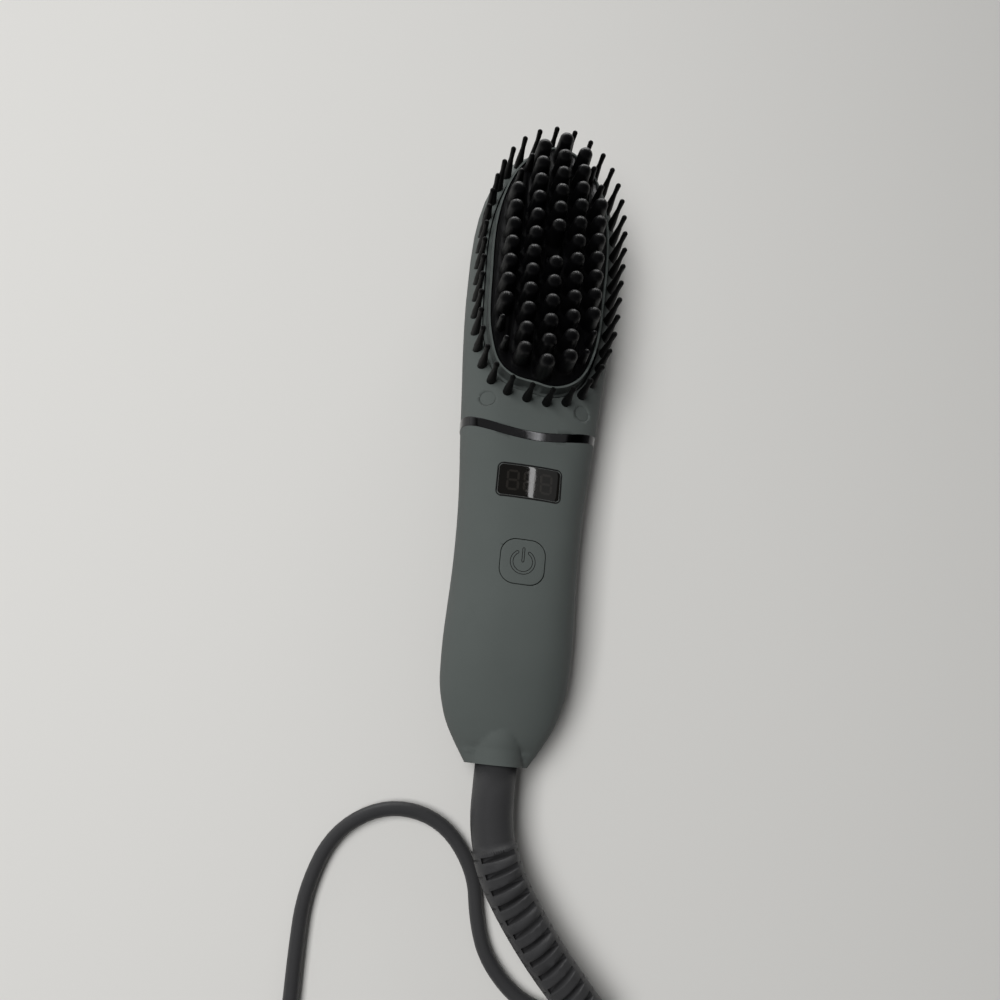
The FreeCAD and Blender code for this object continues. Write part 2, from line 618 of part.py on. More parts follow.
def turned(x, y, corners, tip):
    """A solid of revolution about an upright axis: straight sides, then a round dome to the tip."""
    radius, rim = corners[-1]
    dome = (radius ** 2 + (tip - rim) ** 2) / (2 * (tip - rim))
    lean = math.asin(min(1.0, radius / dome)) / 2
    middle = Vector(dome * math.sin(lean), 0, tip - dome + dome * math.cos(lean))
    edges = [Part.LineSegment(Vector(a[0], 0, a[1]), Vector(b[0], 0, b[1])).toShape()
             for a, b in zip(corners, corners[1:])]
    edges.append(Part.Arc(Vector(radius, 0, rim), middle, Vector(0, 0, tip)).toShape())
    edges.append(Part.LineSegment(Vector(0, 0, tip), Vector(0, 0, corners[0][1])).toShape())
    face = Part.Face(Part.Wire(edges))
    return face.revolve(Vector(0, 0, 0), Vector(0, 0, 1), 360).translated(Vector(x, y, 0))


def pin_comb():
    """The black comb: a flat ring under the shell with all the pins on it."""
    ring = prism(outline(-COMB_OUTER_MARGIN), COMB_BASE, COMB_TOP)
    ring = ring.cut(prism(outline(COMB_INNER_INSET), COMB_BASE - 1, COMB_TOP + 1))
    ring = ring.fuse([pin(p.x, p.y) for p in pin_places()])
    return ring.cut([screw_hole(x, y, COMB_BASE - 1, COMB_TOP + 1) for x, y in comb_places()])


def crown(lift=0.0):
    """The long cylinder whose top is the plate's crown, or lies above it."""
    axis = Vector(0, PLATE_CENTRE - SPAN, PLATE_CROWN - PLATE_CROWN_RADIUS)
    return Part.makeCylinder(PLATE_CROWN_RADIUS + lift, 2 * SPAN, axis, Vector(0, 1, 0))


def plate_surround(outer_low):
    """The insulating surround: it fills the shell's opening, and its rim stands round the bristle plate."""
    ring = prism(outline(SEAM_INSET + SEAM_GAP), COMB_TOP, SPAN).common(outer_low)
    rim = prism(outline(PLATE_INSET - PLATE_GAP - RIM_WALL), COMB_TOP, SPAN).common(crown(RIM_STANDS))
    return ring.fuse(rim).cut([
        prism(outline(PLATE_INSET - PLATE_GAP), PLATE_BASE, SPAN),
        prism(outline(PLATE_INSET + LEDGE_WIDTH), 0, SPAN),
        prism(outline(SEAM_INSET + SEAM_GAP + SURROUND_WALL), 0, PLATE_BASE - LEDGE_THICKNESS),
    ])


def row(place):
    """Station of a place in the bristle grid, counted from the head's tip."""
    return PLATE_CENTRE + CONE_PITCH_ALONG * ((CONE_ROWS - 1) / 2 - place)


def cone(x, y, tip, slim=False):
    """One bristle: a cone with a rounded tip, rooted in the plate."""
    base, top, dome = (SLIM_BASE_RADIUS, SLIM_TOP_RADIUS, SLIM_DOME) if slim else (
        CONE_BASE_RADIUS, CONE_TOP_RADIUS, CONE_DOME)
    root = PLATE_CEILING + FIT
    return turned(x, y, [(0, root), (base, root), (top, tip - dome)], tip)


def cones():
    """All the bristles: three tall columns, two outer ones, and slim ones near the corners."""
    middle = [cone(0, row(k), CONE_TIPS[0]) for k in range(CONE_ROWS) if k != CONE_ROWS // 2]
    pitch = CONE_PITCH_ACROSS
    inner = [cone(side * pitch, row(k + 0.5), CONE_TIPS[1]) for side in (-1, 1) for k in range(CONE_ROWS - 1)]
    outer = [cone(side * 2 * pitch, row(k), CONE_TIPS[2]) for side in (-1, 1) for k in OUTER_ROWS]
    line = outline(SLIM_INSET)
    slim = [cone(side * edge_at(line, row(k)), row(k), SLIM_TIP, True) for side in (-1, 1) for k in SMALL_ROWS]
    return middle + inner + outer + slim


def heater_blocks(clearance):
    """The two heaters, one either side of the centre screw."""
    half = HEATER_WIDTH / 2 + clearance
    top = PLATE_BASE + HEATER_THICKNESS + clearance
    start, end = HEATER_START - clearance, HEATER_START + HEATER_LENGTH + clearance
    return [box(-half, half, PLATE_CENTRE + min(side * start, side * end),
                PLATE_CENTRE + max(side * start, side * end), PLATE_BASE, top) for side in (-1, 1)]


def clamp_screw_places():
    """The two screws that press the heaters against the plate."""
    return [(0, PLATE_CENTRE + side * CLAMP_SCREW_OFFSET) for side in (-1, 1)]


def bristle_plate():
    """The heated plate: a crowned casting with its bristles and pockets for the heaters."""
    plate = prism(outline(PLATE_INSET), PLATE_BASE, SPAN).common(crown())
    rim = [e for e in plate.Edges if e.BoundBox.ZMin > PLATE_BASE + 1 and e.BoundBox.YLength > 5]
    plate = plate.makeFillet(PLATE_EDGE_RADIUS, rim)
    plate = plate.fuse(cones())
    head_room = post(0, PLATE_CENTRE, PLATE_CROWN - SCREW_HEAD_HEIGHT, SPAN, SCREW_HEAD_RADIUS + FIT)
    holes = [screw_hole(0, PLATE_CENTRE, 0, SPAN), head_room]
    holes += [screw_hole(x, y, 0, PLATE_BASE + 5.0) for x, y in clamp_screw_places()]
    hollow = prism(outline(PLATE_INSET + PLATE_RIM), PLATE_BASE - 1, PLATE_CEILING)
    hollow = hollow.cut(box(-PLATE_SPINE, PLATE_SPINE, 0, BODY_LENGTH, 0, SPAN))
    return plate.cut(heater_blocks(FIT) + holes + [hollow])


def strip(z0, thickness):
    """A flat strip under the heaters, with its three screw holes."""
    sheet = box(-CLAMP_HALF_WIDTH, CLAMP_HALF_WIDTH, PLATE_CENTRE - CLAMP_HALF_LENGTH,
                PLATE_CENTRE + CLAMP_HALF_LENGTH, z0, z0 + thickness)
    places = clamp_screw_places() + [(0, PLATE_CENTRE)]
    return sheet.cut([screw_hole(x, y, 0, SPAN) for x, y in places])


# ---- handle --------------------------------------------------------------------------------------
def display_window(outer):
    """The curved dark window, flush with the shell."""
    gap = 2 * WINDOW_GAP
    return outer.common(rounded(0, DISPLAY_STATION, DISPLAY_WIDTH - gap, DISPLAY_LENGTH - gap,
                                DISPLAY_CORNER - WINDOW_GAP, WINDOW_BASE, SPAN))


def display_gasket():
    """A foam frame between the display and its window."""
    base = WINDOW_BASE - GASKET_THICKNESS
    frame = block(0, DISPLAY_STATION, (MODULE_WIDTH, MODULE_LENGTH, GASKET_THICKNESS), base)
    inside = (MODULE_WIDTH - 2 * GASKET_WIDTH, MODULE_LENGTH - 2 * GASKET_WIDTH, 2 * GASKET_THICKNESS)
    return frame.cut(block(0, DISPLAY_STATION, inside, base - GASKET_THICKNESS / 2))


def display_module():
    """The three-digit display, standing on the board."""
    height = WINDOW_BASE - GASKET_THICKNESS - BOARD_TOP
    return block(0, DISPLAY_STATION, (MODULE_WIDTH, MODULE_LENGTH, height), BOARD_TOP)


def power_button(outer):
    """The button's cap: a flush face, a flange under the shell and a stem for the switch."""
    face = outer.common(rounded(0, BUTTON_STATION, BUTTON_SIZE, BUTTON_SIZE, BUTTON_CORNER, BUTTON_BASE, SPAN))
    wide = BUTTON_SIZE + 2 * FLANGE_MARGIN
    flange = rounded(0, BUTTON_STATION, wide, wide, BUTTON_CORNER + FLANGE_MARGIN,
                     BUTTON_BASE - FLANGE_THICKNESS, BUTTON_BASE)
    return face.fuse([flange, post(0, BUTTON_STATION, STEM_END, BUTTON_BASE, STEM_RADIUS)])


def tact_switch():
    """The switch on the board, open for its plunger and the plunger's travel."""
    case = block(0, BUTTON_STATION, (SWITCH_SIZE, SWITCH_SIZE, SWITCH_HEIGHT), BOARD_TOP)
    depth = PLUNGER_DEPTH + BUTTON_TRAVEL + FIT
    return case.cut(post(0, BUTTON_STATION, BOARD_TOP + SWITCH_HEIGHT - depth, SPAN, PLUNGER_RADIUS + SCREW_FIT))


def switch_plunger():
    """The plunger between the switch and the button."""
    return post(0, BUTTON_STATION, BOARD_TOP + SWITCH_HEIGHT - PLUNGER_DEPTH, STEM_END, PLUNGER_RADIUS)


def main_board():
    """The circuit board."""
    length = BOARD_END - BOARD_START
    board = block(0, (BOARD_START + BOARD_END) / 2, (2 * BOARD_HALF_WIDTH, length, BOARD_THICKNESS), BOARD_BASE)
    return board.cut([screw_hole(x, y, 0, SPAN) for x, y in board_places()])


def cord_clamp():
    """The bar that grips the cord, with a groove for it."""
    bar = block(0, CLAMP_BAR_STATION, CLAMP_BAR, EXIT_HEIGHT)
    groove = along(0, 2 * CLAMP_BAR_STATION, EXIT_HEIGHT, CORD_DIAMETER / 2)
    return bar.cut([groove] + [screw_hole(x, y, 0, SPAN) for x, y in clamp_bar_places()])


# ---- cord ----------------------------------------------------------------------------------------
def tube(points, diameter, report=True):
    """A round tube along straight runs that are joined by tangent arcs as large as fit."""
    edges = []
    at = points[0]
    for before, corner, after in zip(points, points[1:], points[2:]):
        inward, outward = (corner - before), (after - corner)
        turn = inward.getAngle(outward)
        reach = 0.45 * min(inward.Length, outward.Length)
        radius = reach / math.tan(turn / 2)
        start = corner - inward.normalize() * reach
        end = corner + outward.normalize() * reach
        bisector = (start + end) * 0.5 - corner
        centre = corner + bisector.normalize() * (radius / math.cos(turn / 2))
        middle = centre + (corner - centre).normalize() * radius
        edges.append(Part.LineSegment(at, start).toShape())
        edges.append(Part.Arc(start, middle, end).toShape())
        at = end
        if report:
            print(f"  arc radius {radius:6.1f}")
    edges.append(Part.LineSegment(at, points[-1]).toShape())
    path = Part.Wire(edges)
    heading = (points[1] - points[0]).normalize()
    profile = Part.Wire(Part.makeCircle(diameter / 2, points[0], heading))
    solid = path.makePipeShell([profile], True, False)
    expected = math.pi * diameter ** 2 / 4 * path.Length
    print(f"  tube length {path.Length:.1f}, volume {solid.Volume:.1f} of {expected:.1f}")
    return solid, path.Length


def relief_place(distance):
    """A place on the strain relief's axis and its heading from -Y, at a distance from the handle."""
    x, y, turned_so_far = 0.0, -min(distance, RELIEF_STRAIGHT), 0.0
    left = distance - RELIEF_STRAIGHT
    for radius, degrees in RELIEF_BENDS:
        turn = min(max(left / radius, 0.0), math.radians(degrees))
        heading = turned_so_far + turn
        x += radius * (math.cos(turned_so_far) - math.cos(heading))
        y -= radius * (math.sin(heading) - math.sin(turned_so_far))
        turned_so_far = heading
        left -= radius * math.radians(degrees)
    left = max(left, 0.0)
    direction = Vector(math.sin(turned_so_far), -math.cos(turned_so_far), 0)
    return Vector(x, y, EXIT_HEIGHT) + direction * left, direction


def relief_path(start, end):
    """The strain relief's axis between two distances: straight runs and arcs."""
    marks = [RELIEF_STRAIGHT]
    for radius, degrees in RELIEF_BENDS:
        marks.append(marks[-1] + radius * math.radians(degrees))
    stops = [start] + [m for m in marks if start < m < end] + [end]
    edges = []
    for a, b in zip(stops, stops[1:]):
        first, middle, last = (relief_place(d)[0] for d in (a, (a + b) / 2, b))
        straight = a >= marks[-1] or b <= marks[0]
        curve = Part.LineSegment(first, last) if straight else Part.Arc(first, middle, last)
        edges.append(curve.toShape())
    return Part.Wire(edges)


def relief_circle(distance, radius):
    """A round section of the strain relief."""
    spot, direction = relief_place(distance)
    return Part.Wire(Part.makeCircle(radius, spot, direction))


def ribs_radius(distance):
    """Radius of the ribbed part, which tapers to the cord."""
    share = (distance - SLEEVE_LENGTH) / (RELIEF_LENGTH - SLEEVE_LENGTH)
    return RIBS_RADIUS + (RELIEF_END_RADIUS - RIBS_RADIUS) * share


def notches(distance):
    """Cutters at one distance: deep slots above and below, and narrow grooves at the sides."""
    radius = ribs_radius(distance)
    high, reach = radius + 1, SLOT_REACH * radius
    spot, direction = relief_place(distance)
    cutters = []
    for side in (-1, 1):
        near, far = sorted((side * SLOT_FLOOR * radius, side * high))
        cutters.append(box(-reach, reach, -SLOT_WIDTH / 2, SLOT_WIDTH / 2, near, far))
        near, far = sorted((side * GROOVE_FLOOR * radius, side * high))
        cutters.append(box(near, far, -GROOVE_WIDTH / 2, GROOVE_WIDTH / 2, -high, high))
    for cutter in cutters:
        cutter.rotate(Vector(0, 0, 0), Vector(0, 0, 1), math.degrees(math.atan2(direction.x, -direction.y)))
        cutter.translate(spot)
    return cutters


def strain_relief():
    """The moulded strain relief: flange, neck, smooth sleeve and a slotted, curved tail."""
    flange = along(END_WALL, END_WALL + RELIEF_FLANGE_LENGTH, EXIT_HEIGHT, RELIEF_RADIUS)
    neck = along(0, END_WALL, EXIT_HEIGHT, RELIEF_NECK_RADIUS)
    sleeve = relief_path(0, SLEEVE_LENGTH).makePipeShell([relief_circle(0, RELIEF_RADIUS)], True, False)
    ends = [relief_circle(SLEEVE_LENGTH, RIBS_RADIUS), relief_circle(RELIEF_LENGTH, RELIEF_END_RADIUS)]
    tail = relief_path(SLEEVE_LENGTH, RELIEF_LENGTH).makePipeShell(ends, True, False)
    first = SLEEVE_LENGTH + SLOT_PITCH / 2
    cutters = [cutter for k in range(SLOT_COUNT) for cutter in notches(first + SLOT_PITCH * k)]
    return flange.fuse([neck, sleeve, tail]).cut(cutters)


CORD_ROUTE = (               # hand-laid, after the strain relief; the height is given where it isn't lying
    (67.9, -111.3, 10.4),
    (77.1, -129.3, 6.4),
    (95.8, -137.3, 3.4),
    (115.3, -131.3),
    (126.4, -114.2),
    (124.0, -94.0),
    (109.0, -80.1),
    (88.6, -78.4),
    (71.6, -79.9),
    (54.4, -80.3),
    (37.2, -79.0),
    (18.9, -76.2),
    (5.0, -63.9),
    (0.0, -51.5),
    (-2.4, -35.8),
    (-15.5, -20.2),
    (-35.6, -16.6),
    (-53.2, -26.9),
    (-59.8, -46.2),
    (-59.4, -65.0),
    (-58.1, -84.5),
    (-58.8, -104.5),
)
FIRST_RUN = 18.0             # straight on from the strain relief
PLUG_ROUTE = (
    (-25.9, -156.5, 10.0),
    (-12.6, -157.0, 9.6),
    (0.6, -159.0, 7.5),
    (12.6, -159.0, 7.5),
)


def lying(places):
    """Route points as vectors: those without a height lie on the floor."""
    return [Vector(p[0], p[1], p[2] if len(p) > 2 else CORD_LIES) for p in places]


def coil():
    """The coil of the cord that is put away: a rounded ring, held by a tie."""
    half = COIL_LAYERS * CORD_DIAMETER / 2
    base = CORD_LIES - CORD_DIAMETER / 2
    profile = box(COIL_RADIUS - half, COIL_RADIUS + half, 0, 1, base, base + 2 * half)
    edges = [e for e in profile.Edges if abs(e.Vertexes[0].Y - e.Vertexes[-1].Y) > 0.5]
    face = min(profile.makeFillet(CORD_DIAMETER / 2 - 0.01, edges).Faces, key=lambda f: f.CenterOfMass.y)
    ring = Part.Face(face.OuterWire).revolve(Vector(0, 0, 0), Vector(0, 0, 1), 360)
    return ring.translated(COIL_CENTRE)


def cord_tie():
    """The tie round the coil, let into it so that it lies flat on the floor."""
    half = COIL_LAYERS * CORD_DIAMETER / 2
    base = CORD_LIES - CORD_DIAMETER / 2
    outside = box(COIL_RADIUS - half - TIE_THICKNESS, COIL_RADIUS + half + TIE_THICKNESS,
                  -TIE_WIDTH / 2, TIE_WIDTH / 2, base, base + 2 * half + TIE_THICKNESS)
    inside = box(COIL_RADIUS - half, COIL_RADIUS + half, -TIE_WIDTH, TIE_WIDTH,
                 base + TIE_THICKNESS, base + 2 * half)
    loop = outside.cut(inside)
    loop.rotate(Vector(0, 0, 0), Vector(0, 0, 1), TIE_ANGLE)
    return loop.translated(COIL_CENTRE)


def plug():
    """The mains plug: a moulded body with a tapered tail, and its two blades."""
    length, width, height = PLUG_BODY
    end = Vector(*PLUG_ROUTE[-1])
    tail = Part.makeCone(CORD_DIAMETER / 2 + 0.6, height / 2 - 1.0, PLUG_NOSE, end, Vector(1, 0, 0))
    grip = box(end.x + PLUG_NOSE, end.x + PLUG_NOSE + length, end.y - width / 2, end.y + width / 2,
               end.z - height / 2 + 0.01, end.z + height / 2)
    lengthwise = [e for e in grip.Edges if abs(e.Vertexes[0].X - e.Vertexes[-1].X) > 0.5 * length]
    grip = grip.makeFillet(PLUG_CORNER, lengthwise)
    face = end.x + PLUG_NOSE + length
    blades = []
    for side in (-1, 1):
        y = end.y + side * BLADE_SPACING / 2
        blades.append(box(face, face + BLADE[0], y - BLADE[1] / 2, y + BLADE[1] / 2,
                          end.z - BLADE[2] / 2, end.z + BLADE[2] / 2))
    return grip.fuse(tail), Part.makeCompound(blades)


def wires(route, spacing):
    """A pair of inner wires along (station, height) points, side by side."""
    pair = []
    for side in (-1, 1):
        points = [Vector(side * spacing / 2, y, z) for y, z in route]
        pair.append(tube(points, LEAD_DIAMETER, False)[0])
    return Part.makeCompound(pair)


def heater_leads():
    """From under the board, below the pin comb, and up to the heater's clamp."""
    board, clamp = BOARD_BASE - LEAD_DIAMETER / 2, CLAMP_BASE - LEAD_DIAMETER / 2
    clamp_start = PLATE_CENTRE - CLAMP_HALF_LENGTH
    route = [(BOARD_END - 9, board), (BOARD_END, board), (RING_BOTTOM - 10, LEAD_PASSAGE),
             (clamp_start - 3, LEAD_PASSAGE), (clamp_start + 8, clamp), (clamp_start + 17, clamp)]
    return wires(route, LEAD_SPACING)


def mains_leads():
    """From the end of the cord to the underside of the board."""
    board = BOARD_BASE - LEAD_DIAMETER / 2
    route = [(INNER_CORD_END, EXIT_HEIGHT), (INNER_CORD_END + 9, EXIT_HEIGHT),
             (BOARD_START + 2, board), (BOARD_START + 11, board)]
    return wires(route, MAINS_SPACING)


def make_housing(outer, inner):
    """Shells, band, plugs and the housing's screws."""
    head_front, handle_front = front_shells(outer, inner)
    head_back, handle_back = back_shells(outer, inner)
    save("head_front_shell", head_front)
    save("handle_front_shell", handle_front)
    save("head_back_shell", head_back)
    save("handle_back_shell", handle_back)
    save("trim_band", trim_band(outer))
    plugs = [outer.common(post(x, y, front_height(x, y) - PLUG_DEPTH, SPAN, PLUG_RADIUS - PLUG_GAP))
             for x, y in neck_places()]
    save("screw_plugs", Part.makeCompound(plugs))
    save("neck_screws", Part.makeCompound([screw(x, y, NECK_SCREW_SEAT, NECK_SCREW_LENGTH) for x, y in neck_places()]))


def make_head():
    """Pin comb, surround, bristle plate and heater."""
    save("pin_comb", pin_comb())
    save("plate_surround", plate_surround(body(SURROUND_RECESS)))
    save("bristle_plate", bristle_plate())
    save("centre_screw", screw(0, PLATE_CENTRE, PLATE_CROWN - SCREW_HEAD_HEIGHT, PLATE_CROWN - CLAMP_BASE + 1))
    save("heater_elements", Part.makeCompound(heater_blocks(0)))
    save("mica_sheet", strip(PLATE_BASE - MICA_THICKNESS, MICA_THICKNESS))
    save("heater_clamp", strip(CLAMP_BASE, CLAMP_THICKNESS))
    clamp_screws = [screw(x, y, CLAMP_BASE, CLAMP_SCREW_LENGTH, True) for x, y in clamp_screw_places()]
    save("clamp_screws", Part.makeCompound(clamp_screws))
    fuse, sensor = PLATE_CENTRE + FUSE_START, PLATE_CENTRE - SENSOR_START
    save("thermal_fuse", along(fuse, fuse + FUSE_LENGTH, CLAMP_BASE - FUSE_RADIUS, FUSE_RADIUS))
    save("thermistor", along(sensor, sensor + SENSOR_LENGTH, CLAMP_BASE - SENSOR_RADIUS, SENSOR_RADIUS))


def make_handle(outer):
    """Display, button, board and what hangs on it."""
    save("display_window", display_window(outer))
    save("display_gasket", display_gasket())
    save("display_module", display_module())
    save("power_button", power_button(outer))
    save("tact_switch", tact_switch())
    save("switch_plunger", switch_plunger())
    save("main_board", main_board())
    save("board_screws", Part.makeCompound([screw(x, y, BOARD_TOP, BOARD_SCREW_LENGTH) for x, y in board_places()]))
    aside, back = RELAY_PLACE
    save("power_relay", block(aside, BOARD_END - back, RELAY, BOARD_BASE - RELAY[2]))
    aside, on = CAPACITOR_PLACE
    save("filter_capacitor", block(aside, BOARD_START + on, CAPACITOR, BOARD_BASE - CAPACITOR[2]))
    save("heater_leads", heater_leads())
    save("mains_leads", mains_leads())


def make_cord():
    """Strain relief, clamp, cord, coil, tie and plug."""
    save("strain_relief", strain_relief())
    save("inner_cord", along(END_WALL + RELIEF_FLANGE_LENGTH, INNER_CORD_END, EXIT_HEIGHT, CORD_DIAMETER / 2))
    save("cord_clamp", cord_clamp())
    bar_top = EXIT_HEIGHT + CLAMP_BAR[2]
    save("clamp_bar_screws", Part.makeCompound([screw(x, y, bar_top, BOARD_SCREW_LENGTH) for x, y in clamp_bar_places()]))
    start, heading = relief_place(RELIEF_LENGTH)
    tie = cord_tie()
    ring = coil()
    entry = Vector(COIL_CENTRE.x - COIL_RADIUS - CORD_DIAMETER, COIL_CENTRE.y, CORD_LIES)
    route = [start, start + heading * FIRST_RUN] + lying(CORD_ROUTE) + [entry]
    first, first_length = tube(route, CORD_DIAMETER)
    last, last_length = tube(lying(PLUG_ROUTE), CORD_DIAMETER)
    wound = CORD_LENGTH - first_length - last_length
    print(f"  coil holds {wound:.0f} mm, {wound / (2 * math.pi * COIL_RADIUS):.2f} turns")
    save("power_cord", Part.makeCompound([first.cut(ring), last.cut(ring)]))
    save("cord_coil", ring.cut(tie))
    save("cord_tie", tie)
    plug_body, blades = plug()
    save("plug_body", plug_body)
    save("plug_blades", blades)


def main():
    os.makedirs("parts", exist_ok=True)
    outer = body()
    inner = body(WALL)
    make_housing(outer, inner)
    make_head()
    make_handle(outer)
    make_cord()


if __name__ == "__main__":
    main()
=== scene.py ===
"""Heated hair straightening brush on its back, bristles up: surfaces, finishes, light and camera.

Lengths are metres in the part's frame: +Y from the cord end to the head's tip, +Z up, the origin on
the floor under the middle of the body. Sizes that are easier to read in millimetres carry MM. Every
new piece is one or more closed shells; a shell is a stack of rings, an array of the shape
(rings, points on a ring, 3).
"""
import logging
import math
from dataclasses import dataclass
from enum import Enum

import bmesh
import bpy
import numpy as np
from bpy.types import Material, Mesh, Node, NodeSocket, NodeTree, Object, World
from mathutils import Matrix, Vector


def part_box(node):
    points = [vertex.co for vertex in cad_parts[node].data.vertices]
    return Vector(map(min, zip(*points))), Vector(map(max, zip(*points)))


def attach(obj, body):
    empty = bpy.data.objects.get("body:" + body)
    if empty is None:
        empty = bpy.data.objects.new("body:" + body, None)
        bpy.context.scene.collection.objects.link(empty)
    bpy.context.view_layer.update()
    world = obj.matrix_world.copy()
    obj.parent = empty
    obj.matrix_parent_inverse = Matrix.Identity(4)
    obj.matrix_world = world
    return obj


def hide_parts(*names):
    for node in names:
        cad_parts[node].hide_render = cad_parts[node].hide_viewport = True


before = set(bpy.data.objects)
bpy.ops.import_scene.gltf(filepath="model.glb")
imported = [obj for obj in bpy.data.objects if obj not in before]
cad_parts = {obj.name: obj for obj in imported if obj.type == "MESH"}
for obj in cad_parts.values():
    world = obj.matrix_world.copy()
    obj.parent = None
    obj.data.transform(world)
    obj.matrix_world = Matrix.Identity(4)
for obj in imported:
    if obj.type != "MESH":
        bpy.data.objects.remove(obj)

MM = 0.001
MIDDLE = 132.5               # millimetres from the flat end of the handle to the frame's origin
MERGE = 2e-6                 # metres within which vertices count as one
CUT = 1e-6                   # metres within which a vertex lies on a cutting plane
TOP_RINGS, EDGE_RINGS = 9, 6           # rings over the top of a pad, and over its rounded edge
NOISE_SPAN = (0.3, 0.7)      # where the values of a noise mostly lie
STRETCH = 0.04               # brushed lines: scale of the pattern along the object
LOG = logging.getLogger("brush")
Array = np.ndarray
Point = tuple[float, float, float]
Span = tuple[float, float]


class Rides(Enum):
    """The moving bodies that a piece can ride on."""

    BRUSH = "brush"
    BUTTON = "button"


class Edge(Enum):
    """Angle in degrees above which an edge of a smooth piece stays sharp."""

    SOFT = 60.0
    NORMAL = 32.0


class Pattern(Enum):
    """What a finish's fine relief looks like."""

    GRAIN = "fine grain"
    BRUSHED = "lines along the object"
    FLAKES = "overlapping flakes"


# ---- helpers for nodes and objects ----
def linear(colour: str) -> tuple[float, float, float, float]:
    """Turn an sRGB hex colour, "#rrggbb", into linear RGBA with an alpha of 1."""
    parts = [int(colour[i:i + 2], 16) / 255 for i in (1, 3, 5)]
    return tuple(c / 12.92 if c <= 0.04045 else ((c + 0.055) / 1.055) ** 2.4 for c in parts) + (1.0,)


def add(tree: NodeTree, kind: str, settings: dict | None = None, values: dict | None = None,
        links: dict | None = None) -> Node:
    """Add one node with its settings, socket values and links.

    Args:
        tree: the node tree.
        kind: the node's type name.
        settings: properties of the node by name.
        values: default values of its inputs by name or number.
        links: output sockets that feed its inputs by name or number.

    Returns:
        The new node.
    """
    node = tree.nodes.new(kind)
    for name, value in (settings or {}).items():
        setattr(node, name, value)
    for name, value in (values or {}).items():
        node.inputs[name].default_value = value
    for name, socket in (links or {}).items():
        tree.links.new(socket, node.inputs[name])
    return node


def ranged(tree: NodeTree, value: NodeSocket, source: Span, target: Span) -> NodeSocket:
    """Map a value from one range to another."""
    return add(tree, "ShaderNodeMapRange", values={
        "From Min": source[0], "From Max": source[1], "To Min": target[0], "To Max": target[1]},
        links={"Value": value}).outputs["Result"]


def combined(tree: NodeTree, operation: str, first: NodeSocket, second: NodeSocket) -> NodeSocket:
    """Combine two values by a named operation."""
    return add(tree, "ShaderNodeMath", {"operation": operation}, {}, {0: first, 1: second}).outputs[0]


def cleared(owner: Material | World) -> NodeTree:
    """Switch nodes on and return the emptied tree."""
    owner.use_nodes = True
    owner.node_tree.nodes.clear()
    return owner.node_tree


def placed(name: str, data: bpy.types.ID) -> Object:
    """Put an object for some data in the scene, at the origin."""
    obj = bpy.data.objects.new(name, data)
    bpy.context.scene.collection.objects.link(obj)
    return obj


def stand(obj: Object, place: Vector, side: Vector, up: Vector, back: Vector) -> None:
    """Stand a lamp or camera at a place, with its three axes given."""
    obj.matrix_world = Matrix.Translation(place) @ Matrix((side, up, back)).transposed().to_4x4()


def own(obj: Object, finish: "Finish", body: Rides = Rides.BRUSH,
        stands_for: tuple[str, ...] = ()) -> Object:
    """Give a new piece its finish, its body and the CAD nodes that it stands for.

    Args:
        obj: the piece.
        finish: its finish.
        body: the body that it moves with.
        stands_for: the CAD nodes that it replaces.

    Returns:
        The piece.
    """
    obj.data.materials.clear()
    obj.data.materials.append(finish.material())
    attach(obj, body.value)
    if stands_for:
        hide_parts(*stands_for)
    LOG.info("%s: %s", obj.name, finish.name)
    return obj


def dress(finish: "Finish", *nodes: str) -> None:
    """Give CAD nodes that stay as they are their finish.

    Args:
        finish: the finish.
        nodes: names of the nodes.
    """
    for node in nodes:
        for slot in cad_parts[node].material_slots:
            slot.material = finish.material()
        LOG.info("%s: %s", node, finish.name)


# ---- helpers for shapes ----
def at_station(points: Array) -> Array:
    """Turn points in stations and millimetres into metres in the part's frame."""
    return (points - np.array([0.0, MIDDLE, 0.0])) * MM


def quarter_turn(count: int) -> Array:
    """Angles over a quarter circle, both ends included."""
    return np.radians(np.linspace(0.0, 90.0, count))


def whole_turn(count: int) -> Array:
    """Angles over a full circle, the end left out."""
    return np.linspace(0.0, 2 * math.pi, count, endpoint=False)


def eased(share: Array) -> Array:
    """3s^2 - 2s^3: from 0 to 1 with level ends."""
    return share * share * (3 - 2 * share)


def squared(wave: Array, power: Array) -> Array:
    """A cosine or sine of a superellipse: its size to the power 2/n, with its sign."""
    return np.sign(wave) * np.abs(wave) ** (2 / power)


def closed(rings: Array) -> Array:
    """Repeat the first ring at the end, which closes a loop."""
    return np.concatenate([rings, rings[:1]])


def outward(path: Array) -> Array:
    """Unit vectors that point out of a closed anticlockwise path in a plane.

    Args:
        path: its points, of the shape (points, 2).

    Returns:
        A vector for each point.
    """
    way = np.roll(path, -1, axis=0) - np.roll(path, 1, axis=0)
    way /= np.linalg.norm(way, axis=1)[:, None]
    return np.stack([way[:, 1], -way[:, 0]], 1)


def vertices_of(mesh: Mesh) -> Array:
    """All vertices of a mesh, of the shape (vertices, 3)."""
    points = np.empty(len(mesh.vertices) * 3)
    mesh.vertices.foreach_get("co", points)
    return points.reshape(-1, 3)


